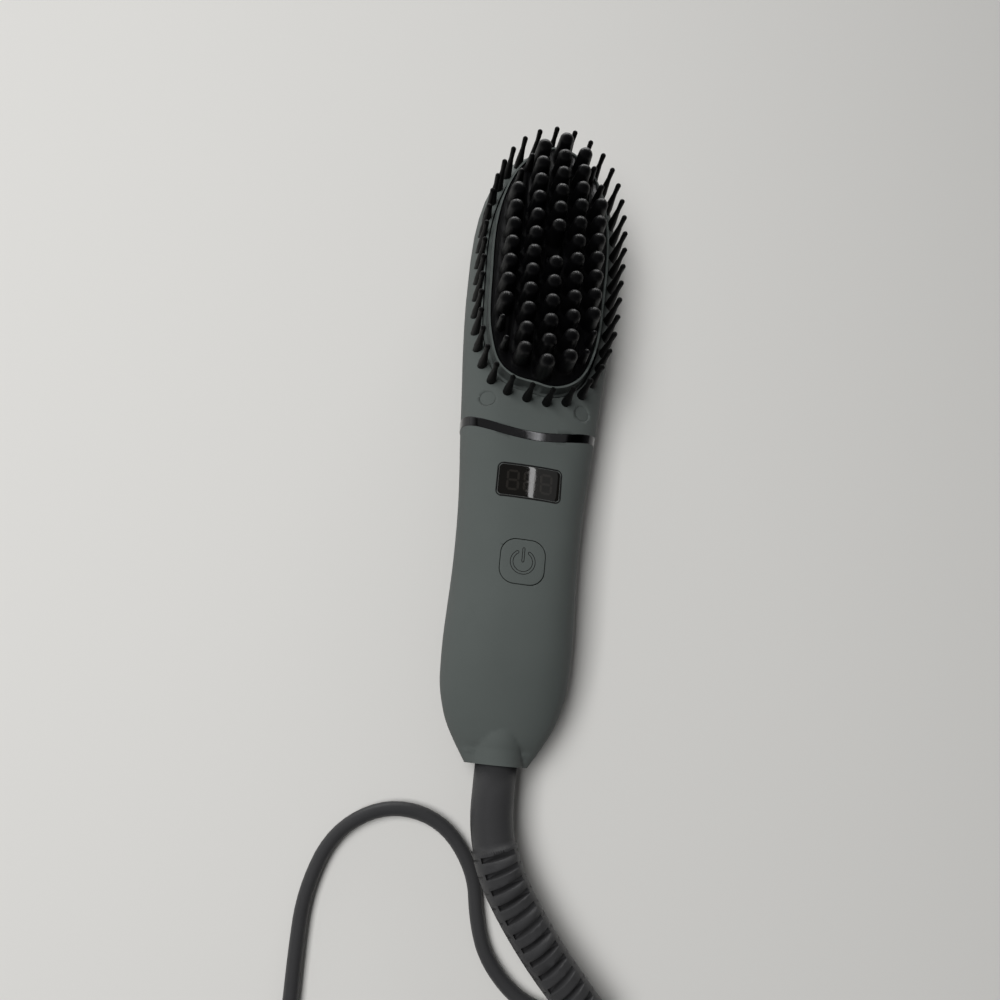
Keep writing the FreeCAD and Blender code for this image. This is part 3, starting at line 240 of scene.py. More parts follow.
def smoothed(mesh: Mesh, name: str, edge: Edge, turn_out: bool) -> Object:
    """Merge a mesh's doubles, shade it smooth between its real edges and put it in the scene.

    Args:
        mesh: the mesh.
        name: the new piece's name.
        edge: the angle above which an edge stays sharp.
        turn_out: whether its faces still have to be turned outwards.

    Returns:
        The new object, at the origin.
    """
    work = bmesh.new()
    work.from_mesh(mesh)
    bmesh.ops.remove_doubles(work, verts=work.verts, dist=MERGE)
    if turn_out:
        bmesh.ops.recalc_face_normals(work, faces=work.faces)
    work.to_mesh(mesh)
    work.free()
    mesh.polygons.foreach_set("use_smooth", np.ones(len(mesh.polygons), bool))
    mesh.set_sharp_from_angle(angle=math.radians(edge.value))
    return placed(name, mesh)


@dataclass
class Fairing:
    """Rounds the long lines of the shells, which the solids join by straight runs between stations.

    Half width and top height are read from the solids at the stations. Between two stations a cubic
    with the slopes of the neighbours' values takes the place of the straight run, so each point moves
    in x, and in z above the parting, by the ratio of the cubic to the straight line.

    Attributes:
        nodes: the solids that are read.
        stations: stations of the sections in millimetres.
        last_top: station up to which the top is rounded as well.
        parting: height at which the shells meet.
        shares: where each run is cut, as shares of its length.
        close: how near a station a vertex of its section lies.
    """

    nodes: tuple[str, ...] = ("handle_front_shell", "head_front_shell", "trim_band")
    stations: tuple[float, ...] = (
        0.0, 4.0, 8.0, 13.0, 19.0, 26.0, 34.0, 43.0, 53.0, 66.0, 80.0, 95.0, 108.0, 121.0, 133.016,
        144.999, 156.983, 168.966, 181.033, 193.017, 205.0)
    last_top: float = 66.0
    parting: float = 13.5
    shares: tuple[float, ...] = (0.25, 0.5, 0.75)
    close: float = 0.02

    def __post_init__(self) -> None:
        """Read half widths and tops at the stations."""
        points = np.concatenate([vertices_of(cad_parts[node].data) for node in self.nodes]) / MM
        near = [points[np.abs(points[:, 1] + MIDDLE - at) < self.close] for at in self.stations]
        self.at = np.array(self.stations)
        self.half = np.array([np.abs(part[:, 0]).max() for part in near])
        self.top = np.array([part[:, 2].max() for part in near]) - self.parting
        self.low = self.at <= self.last_top

    @staticmethod
    def ratio(at: Array, values: Array, where: Array) -> Array:
        """Divide the cubic through values at stations by the straight runs between them.

        Args:
            at: the stations.
            values: the value at each.
            where: the places to look at.

        Returns:
            The ratio at each place.
        """
        slopes = np.gradient(values, at)
        y = np.clip(where, at[0], at[-1])
        i = np.clip(np.searchsorted(at, y, "right") - 1, 0, len(at) - 2)
        span = at[i + 1] - at[i]
        t = (y - at[i]) / span
        cubic = (values[i] * (1 + 2 * t) * (1 - t) ** 2 + values[i + 1] * t * t * (3 - 2 * t)
                 + span * (slopes[i] * t * (1 - t) ** 2 - slopes[i + 1] * t * t * (1 - t)))
        return cubic / np.interp(y, at, values)

    def apply(self, mesh: Mesh) -> None:
        """Cut a mesh between the stations and move its vertices onto the rounded lines.

        Args:
            mesh: the copy that is changed.
        """
        work = bmesh.new()
        work.from_mesh(mesh)
        bmesh.ops.remove_doubles(work, verts=work.verts, dist=MERGE)
        ends = vertices_of(mesh)[:, 1] / MM + MIDDLE
        for first, second in zip(self.stations, self.stations[1:]):
            for share in self.shares:
                place = first + (second - first) * share
                if ends.min() < place < ends.max():
                    bmesh.ops.bisect_plane(
                        work, geom=work.verts[:] + work.edges[:] + work.faces[:], dist=CUT,
                        plane_co=(0, (place - MIDDLE) * MM, 0), plane_no=(0, 1, 0))
        work.to_mesh(mesh)
        work.free()
        points = vertices_of(mesh)
        where = points[:, 1] / MM + MIDDLE
        points[:, 0] *= self.ratio(self.at, self.half, where)
        above = np.maximum(points[:, 2] - self.parting * MM, 0.0)
        points[:, 2] += above * (self.ratio(self.at[self.low], self.top[self.low], where) - 1)
        mesh.vertices.foreach_set("co", points.ravel())


def carry(node: str, name: str, finish: "Finish", fairing: Fairing | None = None) -> Object:
    """Put a merged, smooth copy of a CAD node in its place.

    Args:
        node: the CAD node.
        name: the copy's name.
        finish: its finish.
        fairing: rounds its long lines, if given.

    Returns:
        The copy.
    """
    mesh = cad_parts[node].data.copy()
    mesh.name = name
    if fairing:
        fairing.apply(mesh)
    return own(smoothed(mesh, name, Edge.NORMAL, False), finish, stands_for=(node,))


def solid(name: str, shells: list[Array], edge: Edge = Edge.NORMAL) -> Object:
    """Make one piece from closed shells.

    Neighbouring rings of a shell are joined by quads and each ring closes on itself. A first or last
    ring whose points all coincide is a pole, and a last ring that repeats the first closes a loop.

    Args:
        name: the piece's name.
        shells: stacks of rings, in metres.
        edge: the angle above which an edge stays sharp.

    Returns:
        The new object, at the origin.
    """
    points, quads, count = [], [], 0
    for shell in shells:
        rings, around, _ = shell.shape
        index = count + np.arange(rings * around).reshape(rings, around)
        onward = np.roll(index, -1, axis=1)
        quads.append(np.stack([index[:-1], onward[:-1], onward[1:], index[1:]], -1).reshape(-1, 4))
        points.append(shell.reshape(-1, 3))
        count += rings * around
    mesh = bpy.data.meshes.new(name)
    mesh.from_pydata(np.concatenate(points).tolist(), [], np.concatenate(quads).tolist())
    return smoothed(mesh, name, edge, True)


def rounded_outline(half_x: float, half_y: float, corner: float, side: int = 6, arc: int = 9) -> Array:
    """A rounded rectangle: four quarter circles, joined by evenly spaced points on the sides.

    Args:
        half_x: half of its width.
        half_y: half of its length.
        corner: radius of its corners.
        side: steps on each side.
        arc: points on each corner.

    Returns:
        Points in order round the outline, of the shape (points, 2).
    """
    spots = []
    for quarter in range(4):
        angle = quarter_turn(arc) + quarter * math.pi / 2
        diagonal = math.pi / 4 + quarter * math.pi / 2
        x = np.sign(math.cos(diagonal)) * (half_x - corner)
        y = np.sign(math.sin(diagonal)) * (half_y - corner)
        spots.append(np.stack([x + corner * np.cos(angle), y + corner * np.sin(angle)], 1))
    share = np.linspace(0.0, 1.0, side + 1)[1:-1, None]
    runs = [a[-1] + (b[0] - a[-1]) * share for a, b in zip(spots, spots[1:] + spots[:1])]
    return np.concatenate([part for pair in zip(spots, runs) for part in pair])


def superellipse(half_x: Array, half_y: Array, power: Array, around: int) -> tuple[Array, Array]:
    """Points of superellipses: each coordinate is half the size times a squared cosine or sine."""
    angle = whole_turn(around)[None, :]
    return (half_x[:, None] * squared(np.cos(angle), power[:, None]),
            half_y[:, None] * squared(np.sin(angle), power[:, None]))


@dataclass
class Crown:
    """The top of a CAD node as a polynomial of x and y, fitted to its upper vertices by least squares.

    Attributes:
        node: the CAD node.
        depth: how far below its highest point a vertex still belongs to the top, in metres.
        unit: length by which the polynomial counts, in metres.
    """

    node: str
    depth: float = 2.2 * MM
    unit: float = 0.01

    def __post_init__(self) -> None:
        """Read the vertices and fit the polynomial."""
        points = vertices_of(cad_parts[self.node].data)
        points = points[points[:, 2] > points[:, 2].max() - self.depth]
        self.middle = (points[:, :2].min(0) + points[:, :2].max(0)) / 2
        self.terms = np.linalg.lstsq(self.basis(points[:, 0], points[:, 1]), points[:, 2], rcond=None)[0]

    def basis(self, x: Array, y: Array) -> Array:
        """The polynomial's terms at places: powers of x that are even, and of y."""
        across, on = x / self.unit, (y - self.middle[1]) / self.unit
        return np.stack([across * 0 + 1, on, on ** 2, across ** 2, across ** 4, across ** 2 * on], -1)

    def height(self, x: Array, y: Array) -> Array:
        """Height of the top at places."""
        return self.basis(x, y) @ self.terms


@dataclass(frozen=True)
class Pad:
    """A rounded plate whose top follows a crown and whose upper edge is rounded.

    Attributes:
        half_x: half of its width in millimetres.
        half_y: half of its length.
        corner: radius of its corners in plan.
        bevel: radius of its upper edge.
        base: height of its underside.
    """

    half_x: float
    half_y: float
    corner: float
    bevel: float
    base: float

    def shell(self, crown: Crown) -> Array:
        """Rings from the middle of the top outwards, over the rounded edge, down and back in.

        On the edge, a ring at an angle lies inwards of the side by bevel times (1 - sine) and below
        the crown by bevel times (1 - cosine).

        Args:
            crown: the surface that the top follows.

        Returns:
            The stack of rings.
        """
        levels = [(self.bevel, 0.0, share) for share in np.linspace(0.0, 1.0, TOP_RINGS)[:-1]]
        levels += [(self.bevel * (1 - math.sin(t)), self.bevel * (1 - math.cos(t)), 1.0)
                   for t in quarter_turn(EDGE_RINGS)]
        rings = []
        for inset, drop, share in levels:
            plan = rounded_outline(self.half_x - inset, self.half_y - inset, self.corner - inset)
            plan = plan * share * MM + crown.middle
            rings.append(np.column_stack([plan, crown.height(plan[:, 0], plan[:, 1]) - drop * MM]))
        low = rings[-1].copy()
        low[:, 2] = self.base * MM
        pole = low.copy()
        pole[:, :2] = crown.middle
        return np.stack(rings + [low, pole])


def revolved(profile: list[Span], centre: Span, around: int) -> Array:
    """A shell of revolution: each profile point, a radius and a height, is carried round the centre.

    Args:
        profile: radius and height pairs in millimetres, from pole to pole.
        centre: the axis in metres.
        around: points on a ring.

    Returns:
        The stack of rings.
    """
    angle = whole_turn(around)
    radius, height = (np.array(part)[:, None] * MM for part in zip(*profile))
    x, y = centre[0] + radius * np.cos(angle), centre[1] + radius * np.sin(angle)
    return np.stack([x, y, height + 0 * angle], -1)


def bead(path: Array, radius: float, crown: Crown, around: int = 6, flatness: float = 0.45) -> Array:
    """A fine bead along a closed path on a crown: at each point a small oval stands across the path.

    Args:
        path: points in plan, in metres.
        radius: the bead's half width in metres.
        crown: the surface it lies on, with the bead's middle at the surface.
        around: points on the oval.
        flatness: its height as a share of its width.

    Returns:
        The stack of rings, closed along the path.
    """
    angle = whole_turn(around)
    plan = path[:, None] + radius * np.cos(angle)[None, :, None] * outward(path)[:, None]
    height = crown.height(path[:, 0], path[:, 1])[:, None] + radius * flatness * np.sin(angle)[None]
    return closed(np.concatenate([plan, height[..., None]], -1))


# ---- finishes ----
@dataclass(frozen=True)
class Finish:
    """A surface: a colour with faint cloudiness, and a fine pattern in gloss and relief.

    Attributes:
        name: the real material and how it was made, or the painted light or shade that it stands for.
        colour: its sRGB hex colour, and shade the one that the cloudiness drifts to.
        roughness: mean roughness; gloss_drift is how far the pattern moves it.
        size: size of the pattern in millimetres, and depth its height in millimetres.
        patch: size of the cloudiness in millimetres.
        pattern: what the pattern looks like.
        ior: refractive index; metallic and specular are the shader's.
    """

    name: str
    colour: str
    shade: str
    roughness: float
    gloss_drift: float = 0.05
    size: float = 0.3
    depth: float = 0.006
    patch: float = 14.0
    pattern: Pattern = Pattern.GRAIN
    ior: float = 1.5
    metallic: float = 0.0
    specular: float = 0.5

    def relief(self, tree: NodeTree, place: NodeSocket) -> NodeSocket:
        """Add the fine pattern.

        Args:
            tree: the node tree.
            place: the coordinates.

        Returns:
            The pattern's height, from 0 to 1.
        """
        scale = 1 / (self.size * MM)
        if self.pattern is Pattern.FLAKES:
            return add(tree, "ShaderNodeTexVoronoi", {"feature": "F1"}, {"Scale": scale},
                       {"Vector": place}).outputs["Distance"]
        if self.pattern is Pattern.BRUSHED:
            place = add(tree, "ShaderNodeMapping", values={"Scale": (1.0, STRETCH, 1.0)},
                        links={"Vector": place}).outputs["Vector"]
        return add(tree, "ShaderNodeTexNoise", values={"Scale": scale, "Detail": 2.0, "Roughness": 0.6},
                   links={"Vector": place}).outputs["Fac"]

    def material(self) -> Material:
        """Build the node material once.

        Returns:
            The material, new or as it was built before.
        """
        if self.name in bpy.data.materials:
            return bpy.data.materials[self.name]
        material = bpy.data.materials.new(self.name)
        tree = cleared(material)
        place = add(tree, "ShaderNodeTexCoord").outputs["Object"]
        cloud = add(tree, "ShaderNodeTexNoise", values={
            "Scale": 1 / (self.patch * MM), "Detail": 3.0, "Roughness": 0.55}, links={"Vector": place})
        fine = self.relief(tree, place)
        tone = add(tree, "ShaderNodeMix", {"data_type": "RGBA"},
                   {"A": linear(self.colour), "B": linear(self.shade)}, {"Factor": cloud.outputs["Fac"]})
        gloss = ranged(tree, fine, NOISE_SPAN,
                       (self.roughness - self.gloss_drift, self.roughness + self.gloss_drift))
        bump = add(tree, "ShaderNodeBump", values={"Distance": self.depth * MM, "Strength": 1.0},
                   links={"Height": fine})
        shader = add(tree, "ShaderNodeBsdfPrincipled", values={
            "IOR": self.ior, "Metallic": self.metallic, "Specular IOR Level": self.specular},
            links={"Base Color": tone.outputs["Result"], "Roughness": gloss,
                   "Normal": bump.outputs["Normal"]})
        add(tree, "ShaderNodeOutputMaterial", links={"Surface": shader.outputs["BSDF"]})
        return material


# Matt paint on the shells: an even grey that scatters light and shows no reflection.
SOFT_TOUCH = Finish("soft-touch paint on ABS", "#545957", "#505553", 0.58, size=0.35, ior=1.45)
# Black chrome on the band: dark mirror that takes the light of the room, with a hint of polish lines.
BLACK_CHROME = Finish("black chrome plate on ABS", "#484849", "#424243", 0.12, 0.02, 0.5, 0.0002, 9.0,
                      Pattern.BRUSHED, metallic=1.0)
# Moulded pins: satin black with small bright tips where the light catches the domes.
NYLON = Finish("moulded black nylon", "#080808", "#0b0b0b", 0.6, size=0.4, depth=0.003, ior=1.53,
               specular=0.2)
# Coating on the bristles and plate: deep black with a soft broad sheen at glancing angles.
CERAMIC_COAT = Finish("sprayed ceramic coat on aluminium", "#060607", "#09090a", 0.42, 0.05, 0.25, 0.002,
                      5.0, ior=1.45)
# Smoked window: near-black gloss that mirrors the lamps sharply.
SMOKED = Finish("smoked polycarbonate, polished", "#0f0e0d", "#141311", 0.045, 0.01, 0.6, 0.0, 8.0, ior=1.58)
# Unlit display segments: a slightly paler brown-grey that can barely be made out.
UNLIT = Finish("unlit display segment behind smoked window", "#24221f", "#1f1d1b", 0.06, 0.01, 0.6, 0.0,
               ior=1.58)
# Pale line inside the window's edge: a thin satin bead whose pale colour is a painted highlight, standing in
# for the light that the pane's edge catches.
WINDOW_EDGE_HIGHLIGHT = Finish("pale line painted as the window edge highlight", "#4b4d4c", "#535554", 0.35, 0.03, 0.6, 0.0, ior=1.58)
# Dark lines round the power sign: painted shade where the sign's edges fall dark, a fine line on the cap.
SIGN_EDGE_SHADE = Finish("painted shade round the sign's edges", "#1c1e1d", "#222423", 0.5, size=0.3, depth=0.002)
# Blackened centre screw: dull dark metal that glints on its rim.
BLACK_STEEL = Finish("blackened steel", "#55565a", "#616266", 0.3, 0.06, 0.3, 0.002, 3.0, metallic=1.0)
# Cord, relief and plug: dull dark grey rubber that pales where the light rakes it.
CORD_PVC = Finish("moulded matt PVC", "#333334", "#39393a", 0.5, 0.08, 0.5, 0.012, 12.0)
# Woven tie round the coil: black with a coarse matt grain.
TIE_STRAP = Finish("hook and loop strap", "#151516", "#1d1d1e", 0.8, 0.05, 0.8, 0.08, 6.0)
# Bright plated blades, with faint lines from rolling.
PLATED_BRASS = Finish("nickel-plated brass", "#c9c6bd", "#bdbab1", 0.24, 0.06, 0.4, 0.002, 6.0,
                      Pattern.BRUSHED, metallic=1.0)
# Zinc-plated screws and clamp: pale grey metal with rolling lines.
ZINC = Finish("zinc-plated steel", "#b9bcc0", "#aaadb2", 0.32, 0.08, 0.3, 0.003, 5.0,
              Pattern.BRUSHED, metallic=1.0)
# Heater blocks: chalky white fired ceramic.
FIRED = Finish("fired alumina ceramic", "#dcd8cd", "#cfcabd", 0.62, size=0.4, depth=0.01, ior=1.76)
# Insulating sheet: pale brown with overlapping flakes that glint.
MICA = Finish("pressed mica", "#a8946e", "#c3b08a", 0.38, 0.12, 1.6, 0.03, 4.0, Pattern.FLAKES, ior=1.58)
# Circuit board: glossy green solder mask.
SOLDER_MASK = Finish("solder mask on glass epoxy", "#0e4a2c", "#0a3d24", 0.28, size=0.6, depth=0.01, ior=1.55)
# Relay, switch and clamp: plain moulded black.
MOULDED_BLACK = Finish("moulded black PBT", "#131314", "#1a1a1b", 0.4, size=0.35, ior=1.57)
# Capacitor: shiny mustard dip that pools at the edges.
DIPPED = Finish("dipped epoxy", "#b98a1e", "#a67915", 0.22, size=2.5, depth=0.05, ior=1.55)
# Thermistor bead: amber glass.
GLASS = Finish("sintered glass bead", "#7a4620", "#8c5427", 0.08, 0.02, 0.6, 0.002, 2.0, ior=1.52)
# Gasket and seal: dull black foam with open pores. On the bead round the window its black is also painted
# shade for the dark gap round the pane.
FOAM = Finish("closed-cell foam", "#161616", "#202020", 0.9, 0.04, 0.7, 0.08, 4.0, Pattern.FLAKES)
# Display block: pale grey reflector.
REFLECTOR = Finish("moulded grey display block", "#86867f", "#7b7b75", 0.45, size=0.4)
# Inner wires: off-white silicone with a soft sheen.
SILICONE = Finish("silicone sleeving", "#cfcdc6", "#c4c2bb", 0.5, size=0.6, depth=0.01, ior=1.42)
# Pieces glossy enough to mirror the strip and the side panel.
MIRRORS = ("window", "display_digits", "band")


# ---- studio ----
@dataclass(frozen=True)
class SoftBox:
    """A rectangular lamp.

    Attributes:
        name: what it is called.
        place: where it hangs.
        target: what it faces.
        across: its side across the object, and along the other, in metres.
        watts: its power.
        mirrored: whether glossy surfaces reflect it.
        only: the pieces that it is kept to, as a reflection, or none where it lights everything.
    """

    name: str
    place: Point
    target: Point
    across: float
    along: float
    watts: float
    mirrored: bool = True
    only: tuple[str, ...] = ()

    def hang(self) -> None:
        """Add the lamp to the scene, its long side kept level with the object's length."""
        lamp = bpy.data.lights.new(self.name, "AREA")
        lamp.shape = "RECTANGLE"
        lamp.size, lamp.size_y, lamp.energy = self.across, self.along, self.watts
        obj = placed(self.name, lamp)
        obj.visible_glossy, obj.visible_diffuse = self.mirrored, not self.only
        back = (Vector(self.place) - Vector(self.target)).normalized()
        side = Vector((0, 1, 0)).cross(back).normalized()
        stand(obj, self.place, side, back.cross(side), back)

    def flag(self) -> None:
        """Keep the lamp off all pieces but its own."""
        reached = bpy.data.collections.new(self.name + " reaches")
        for piece in self.only:
            reached.objects.link(bpy.data.objects[piece])
        bpy.data.objects[self.name].light_linking.receiver_collection = reached


@dataclass
class Studio:
    """Floor, lamps, surroundings and camera.

    Attributes:
        eye: the camera's place.
        ahead: where it looks.
        upward: what is up in its picture.
        lens: focal length in millimetres, sensor the sensor's width, clip the nearest distance seen.
        lamps: the lamps.
        floor_half: half of the floor's side, and floor_points the points along it.
        floor_dim: its colour in what it throws back, and floor_pale where it is seen or mirrored.
        fall: heights, then the surroundings' strength at them.
        right: places to the right, then shares of the strength at them.
        near: places towards the far side, then shares of the strength at them.
        horizon: the strength that the camera sees, and even the one that lights the object.
    """

    eye: Point = (-0.0460, -0.1281, 0.2924)
    ahead: Point = (0.1271, 0.3176, -0.9397)
    upward: Point = (-0.1443, 0.9432, 0.2993)
    lens: float = 27.0
    sensor: float = 36.0
    clip: float = 0.01
    lamps: tuple[SoftBox, ...] = (
        SoftBox("key softbox", (-0.62, -0.05, 1.17), (0.0, 0.0, 0.0), 0.6, 1.2, 19.0, False),
        SoftBox("strip", (0.235, 0.45, 1.20), (0.0, 0.1, 0.0), 0.052, 1.1, 0.95, True, MIRRORS),
        SoftBox("side panel", (0.51, 0.45, 1.20), (0.0, 0.1, 0.0), 0.46, 1.1, 0.4, True, MIRRORS),
        SoftBox("band fill", (-0.62, 0.40, 1.25), (0.0, 0.0, 0.0), 1.6, 1.4, 1.2, True, ("band",)),
        SoftBox("far softbox", (-0.05, 1.50, 0.26), (0.0, 0.05, 0.045), 1.4, 0.3, 9.0),
    )
    floor_half: float = 3.0
    floor_points: int = 9
    floor_dim: str = "#2c2c2c"
    floor_pale: str = "#d2d1ce"
    fall: tuple[Span, Span] = ((0.10, 0.45), (0.95, 0.07))
    right: tuple[Span, Span] = ((0.15, 0.6), (1.0, 0.12))
    near: tuple[Span, Span] = ((-0.2, 0.6), (0.25, 1.0))
    horizon: float = 0.9
    even: float = 0.09

    def camera(self) -> None:
        """Place the camera."""
        forward = Vector(self.ahead).normalized()
        right = forward.cross(Vector(self.upward)).normalized()
        data = bpy.data.cameras.new("camera")
        data.sensor_width, data.lens, data.clip_start = self.sensor, self.lens, self.clip
        obj = placed("camera", data)
        stand(obj, self.eye, right, right.cross(forward), -forward)
        bpy.context.scene.camera = obj

    @staticmethod
    def seen(tree: NodeTree) -> NodeSocket:
        """A factor that is 1 for camera, glossy and transmission rays and 0 for the rest."""
        path = add(tree, "ShaderNodeLightPath").outputs
        either = combined(tree, "MAXIMUM", path["Is Camera Ray"], path["Is Glossy Ray"])
        return combined(tree, "MAXIMUM", either, path["Is Transmission Ray"])

    def floor(self) -> None:
        """Lay the floor: pale where it is seen or mirrored, and a dim grey in what it throws back."""
        side = np.linspace(-self.floor_half, self.floor_half, self.floor_points)
        x, y = np.meshgrid(side, side, indexing="ij")
        index = np.arange(side.size ** 2).reshape(side.size, side.size)
        quads = np.stack([index[:-1, :-1], index[1:, :-1], index[1:, 1:], index[:-1, 1:]], -1).reshape(-1, 4)
        mesh = bpy.data.meshes.new("floor")
        mesh.from_pydata(np.stack([x, y, 0 * x], -1).reshape(-1, 3).tolist(), [], quads.tolist())
        obj = placed("floor", mesh)
        material = bpy.data.materials.new("pale matt studio floor")
        tree = cleared(material)
        tone = add(tree, "ShaderNodeMix", {"data_type": "RGBA"},
                   {"A": linear(self.floor_dim), "B": linear(self.floor_pale)}, {"Factor": self.seen(tree)})
        shader = add(tree, "ShaderNodeBsdfPrincipled", values={"Roughness": 0.9},
                     links={"Base Color": tone.outputs["Result"]})
        add(tree, "ShaderNodeOutputMaterial", links={"Surface": shader.outputs["BSDF"]})
        mesh.materials.append(material)

    def surroundings(self) -> None:
        """Pale at the far horizon and dim overhead, as in a studio, and dimmer on the right and behind.

        Rays that are seen or mirrored get a strength that falls with height, times shares that fall
        to the right and to the near side; all others get one even, low strength.
        """
        world = bpy.data.worlds.new("studio")
        bpy.context.scene.world = world
        tree = cleared(world)
        way = add(tree, "ShaderNodeTexCoord").outputs["Generated"]
        parts = add(tree, "ShaderNodeSeparateXYZ", links={"Vector": way}).outputs
        height = ranged(tree, parts["Z"], *self.fall)
        right = ranged(tree, parts["X"], *self.right)
        near = ranged(tree, parts["Y"], *self.near)
        dim = combined(tree, "MULTIPLY", height, combined(tree, "MULTIPLY", near, right))
        camera = add(tree, "ShaderNodeLightPath").outputs["Is Camera Ray"]
        shown = add(tree, "ShaderNodeMix", {"data_type": "FLOAT"}, {"B": self.horizon},
                    {"Factor": camera, "A": dim}).outputs["Result"]
        strength = add(tree, "ShaderNodeMix", {"data_type": "FLOAT"}, {"A": self.even},
                       {"Factor": self.seen(tree), "B": shown}).outputs["Result"]
        glow = add(tree, "ShaderNodeBackground", values={"Color": linear("#ffffff")},
                   links={"Strength": strength})
        add(tree, "ShaderNodeOutputWorld", links={"Surface": glow.outputs["Background"]})

    def build(self) -> None:
        """Build the studio."""
        self.camera()
        self.floor()
        self.surroundings()
        for lamp in self.lamps:
            lamp.hang()
        bpy.context.scene.view_settings.view_transform = "Standard"
        LOG.info("studio: floor, %d lamps, camera", len(self.lamps))


# ---- cord ----
@dataclass
class MainsCord:
    """The mains cord: a loose run, a tied coil of what is left over, and the plug.

    Places are stations in millimetres. The coil is wound in slots of one cord diameter: inwards on
    the floor, outwards on the next layer, and back over the top.

    Attributes:
        diameter: of the cord, and length from the strain relief to the plug; length is not used.
        fineness: steps of the spline between two points, and of its section.
        run: points listed from the strain relief to the coil.
        last: points listed from the coil to the plug.
        centre: the coil's axis.
        slots: radius and height of each turn.
        changes: degrees from the coil's start at which each change to the next slot begins.
        crossing: degrees that a change takes.
        start_angle: degrees at which the coil starts, and end_turn those after the last whole turn.
        turn_points: points on a turn.
        tie_angle: where the tie sits, in degrees.
        tie_size: width and thickness of its strip, and tie_power the section's exponent.
        tie_half: half sizes of its loop, tie_corner its corners, tie_lift its gap to the floor.
        plug: length, width and height of the plug's body.
        tail: radius of the plug's tail, and swell where it starts to widen and over what length.
        powers: the section's exponent at the tail, and what is added at the grip.
        ribs: where the finger ribs begin and end, rib_pitch their step and rib_depth their depth.
        face_edge: radius round the plug's face.
        plug_points: points on a ring, and plug_rings rings along the body.
    """

    diameter: float = 5.0
    length: float = 1800.0
    fineness: int = 6
    run: tuple[Point, ...] = (
        (43.45, -80.15, 13.5), (56.0, -93.05, 13.5), (67.9, -111.3, 10.4), (77.1, -129.3, 6.4),
        (95.8, -137.3, 3.4), (115.3, -131.3, 2.55), (126.4, -114.2, 2.55), (124.0, -94.0, 2.55),
        (109.0, -80.1, 2.55), (88.6, -78.4, 2.55), (71.6, -79.9, 2.55), (54.4, -80.3, 2.55),
        (37.2, -79.0, 2.55), (18.9, -76.2, 2.55), (5.0, -63.9, 2.55), (0.0, -51.5, 2.55),
        (-2.4, -35.8, 2.55), (-15.5, -20.2, 2.55), (-35.6, -16.6, 2.55), (-53.2, -26.9, 2.55),
        (-59.8, -46.2, 2.55), (-59.4, -65.0, 2.55), (-58.1, -84.5, 2.55), (-58.8, -104.5, 2.55))
    last: tuple[Point, ...] = (
        (-25.9, -156.5, 12.55), (-12.6, -157.0, 11.4), (0.6, -159.0, 8.0), (12.6, -159.0, 7.5))
    centre: Span = (-25.9, -124.0)
    slots: tuple[Span, ...] = (
        (32.5, 2.55), (27.5, 2.55), (22.5, 2.55), (22.5, 7.55), (27.5, 7.55), (32.5, 7.55),
        (27.5, 12.55), (32.5, 12.55))
    changes: tuple[float, ...] = (279.0, 658.0, 1008.0, 1363.0, 1724.0, 2033.0, 2298.0)
    crossing: float = 96.0
    start_angle: float = 180.0
    end_turn: float = 90.0
    turn_points: int = 24
    tie_angle: float = 60.0
    tie_size: Span = (9.0, 0.8)
    tie_power: float = 5.0
    tie_half: Span = (7.9, 7.5)
    tie_corner: float = 3.4
    tie_lift: float = 0.05
    tie_points: int = 16
    plug: Point = (46.0, 23.0, 14.98)
    tail: float = 3.2
    swell: Span = (3.0, 14.0)
    powers: Span = (2.0, 2.6)
    ribs: Span = (20.0, 36.0)
    rib_pitch: float = 2.6
    rib_depth: float = 0.5
    face_edge: float = 1.5
    plug_points: int = 56
    plug_rings: int = 90

    def turns(self) -> Array:
        """Points of the coil's turns: radius and height are a slot's, eased to the next slot's.

        Each change adds its step in radius and height times the eased share of the crossing that has
        passed. The control points stand out by 1 / cos(half a step), so that the spline between them
        keeps the radius.

        Returns:
            Points in stations and millimetres.
        """
        wound = 360.0 * (len(self.slots) - 1) + self.end_turn
        angle = np.arange(0.0, wound, 360.0 / self.turn_points)
        share = np.clip((angle[:, None] - np.array(self.changes)) / self.crossing, 0.0, 1.0)
        slots = np.array(self.slots)
        radius, height = (slots[0] + eased(share) @ np.diff(slots, axis=0)).T
        radius = radius / math.cos(math.pi / self.turn_points)
        way = np.radians(self.start_angle + angle)
        return np.stack([self.centre[0] + radius * np.cos(way),
                         self.centre[1] + radius * np.sin(way), height], 1)

    def cord(self) -> Object:
        """Lay the cord as one smooth spline.

        Returns:
            The piece.
        """
        curve = bpy.data.curves.new("mains_cord", "CURVE")
        curve.dimensions = "3D"
        curve.bevel_depth = self.diameter / 2 * MM
        curve.bevel_resolution = curve.resolution_u = self.fineness
        curve.use_fill_caps = True
        points = at_station(np.concatenate([np.array(self.run), self.turns(), np.array(self.last)]))
        spline = curve.splines.new("NURBS")
        spline.points.add(len(points) - 1)
        spline.points.foreach_set("co", np.concatenate([points, np.ones((len(points), 1))], 1).ravel())
        spline.order_u = 3
        spline.use_endpoint_u = True
        return placed("mains_cord", curve)

    def tie(self) -> Object:
        """The strap round the coil: a flat rounded strip carried along a rounded rectangle.

        Returns:
            The piece.
        """
        width, thickness = self.tie_size
        loop = rounded_outline(*self.tie_half, self.tie_corner)
        out, aside = superellipse(np.array([thickness / 2]), np.array([width / 2]),
                                  np.array([self.tie_power]), self.tie_points)
        angle = math.radians(self.tie_angle)
        radial = np.array([math.cos(angle), math.sin(angle)])
        along = np.array([-radial[1], radial[0]])
        plane = loop[:, None] + out[0][None, :, None] * outward(loop)[:, None]
        reach = self.slots[1][0] + plane[..., :1]
        plan = np.array(self.centre) + reach * radial + aside[0][None, :, None] * along
        height = plane[..., 1:] + self.tie_lift + thickness / 2 + self.tie_half[1]
        return solid("coil_tie", [at_station(closed(np.concatenate([plan, height], -1)))])

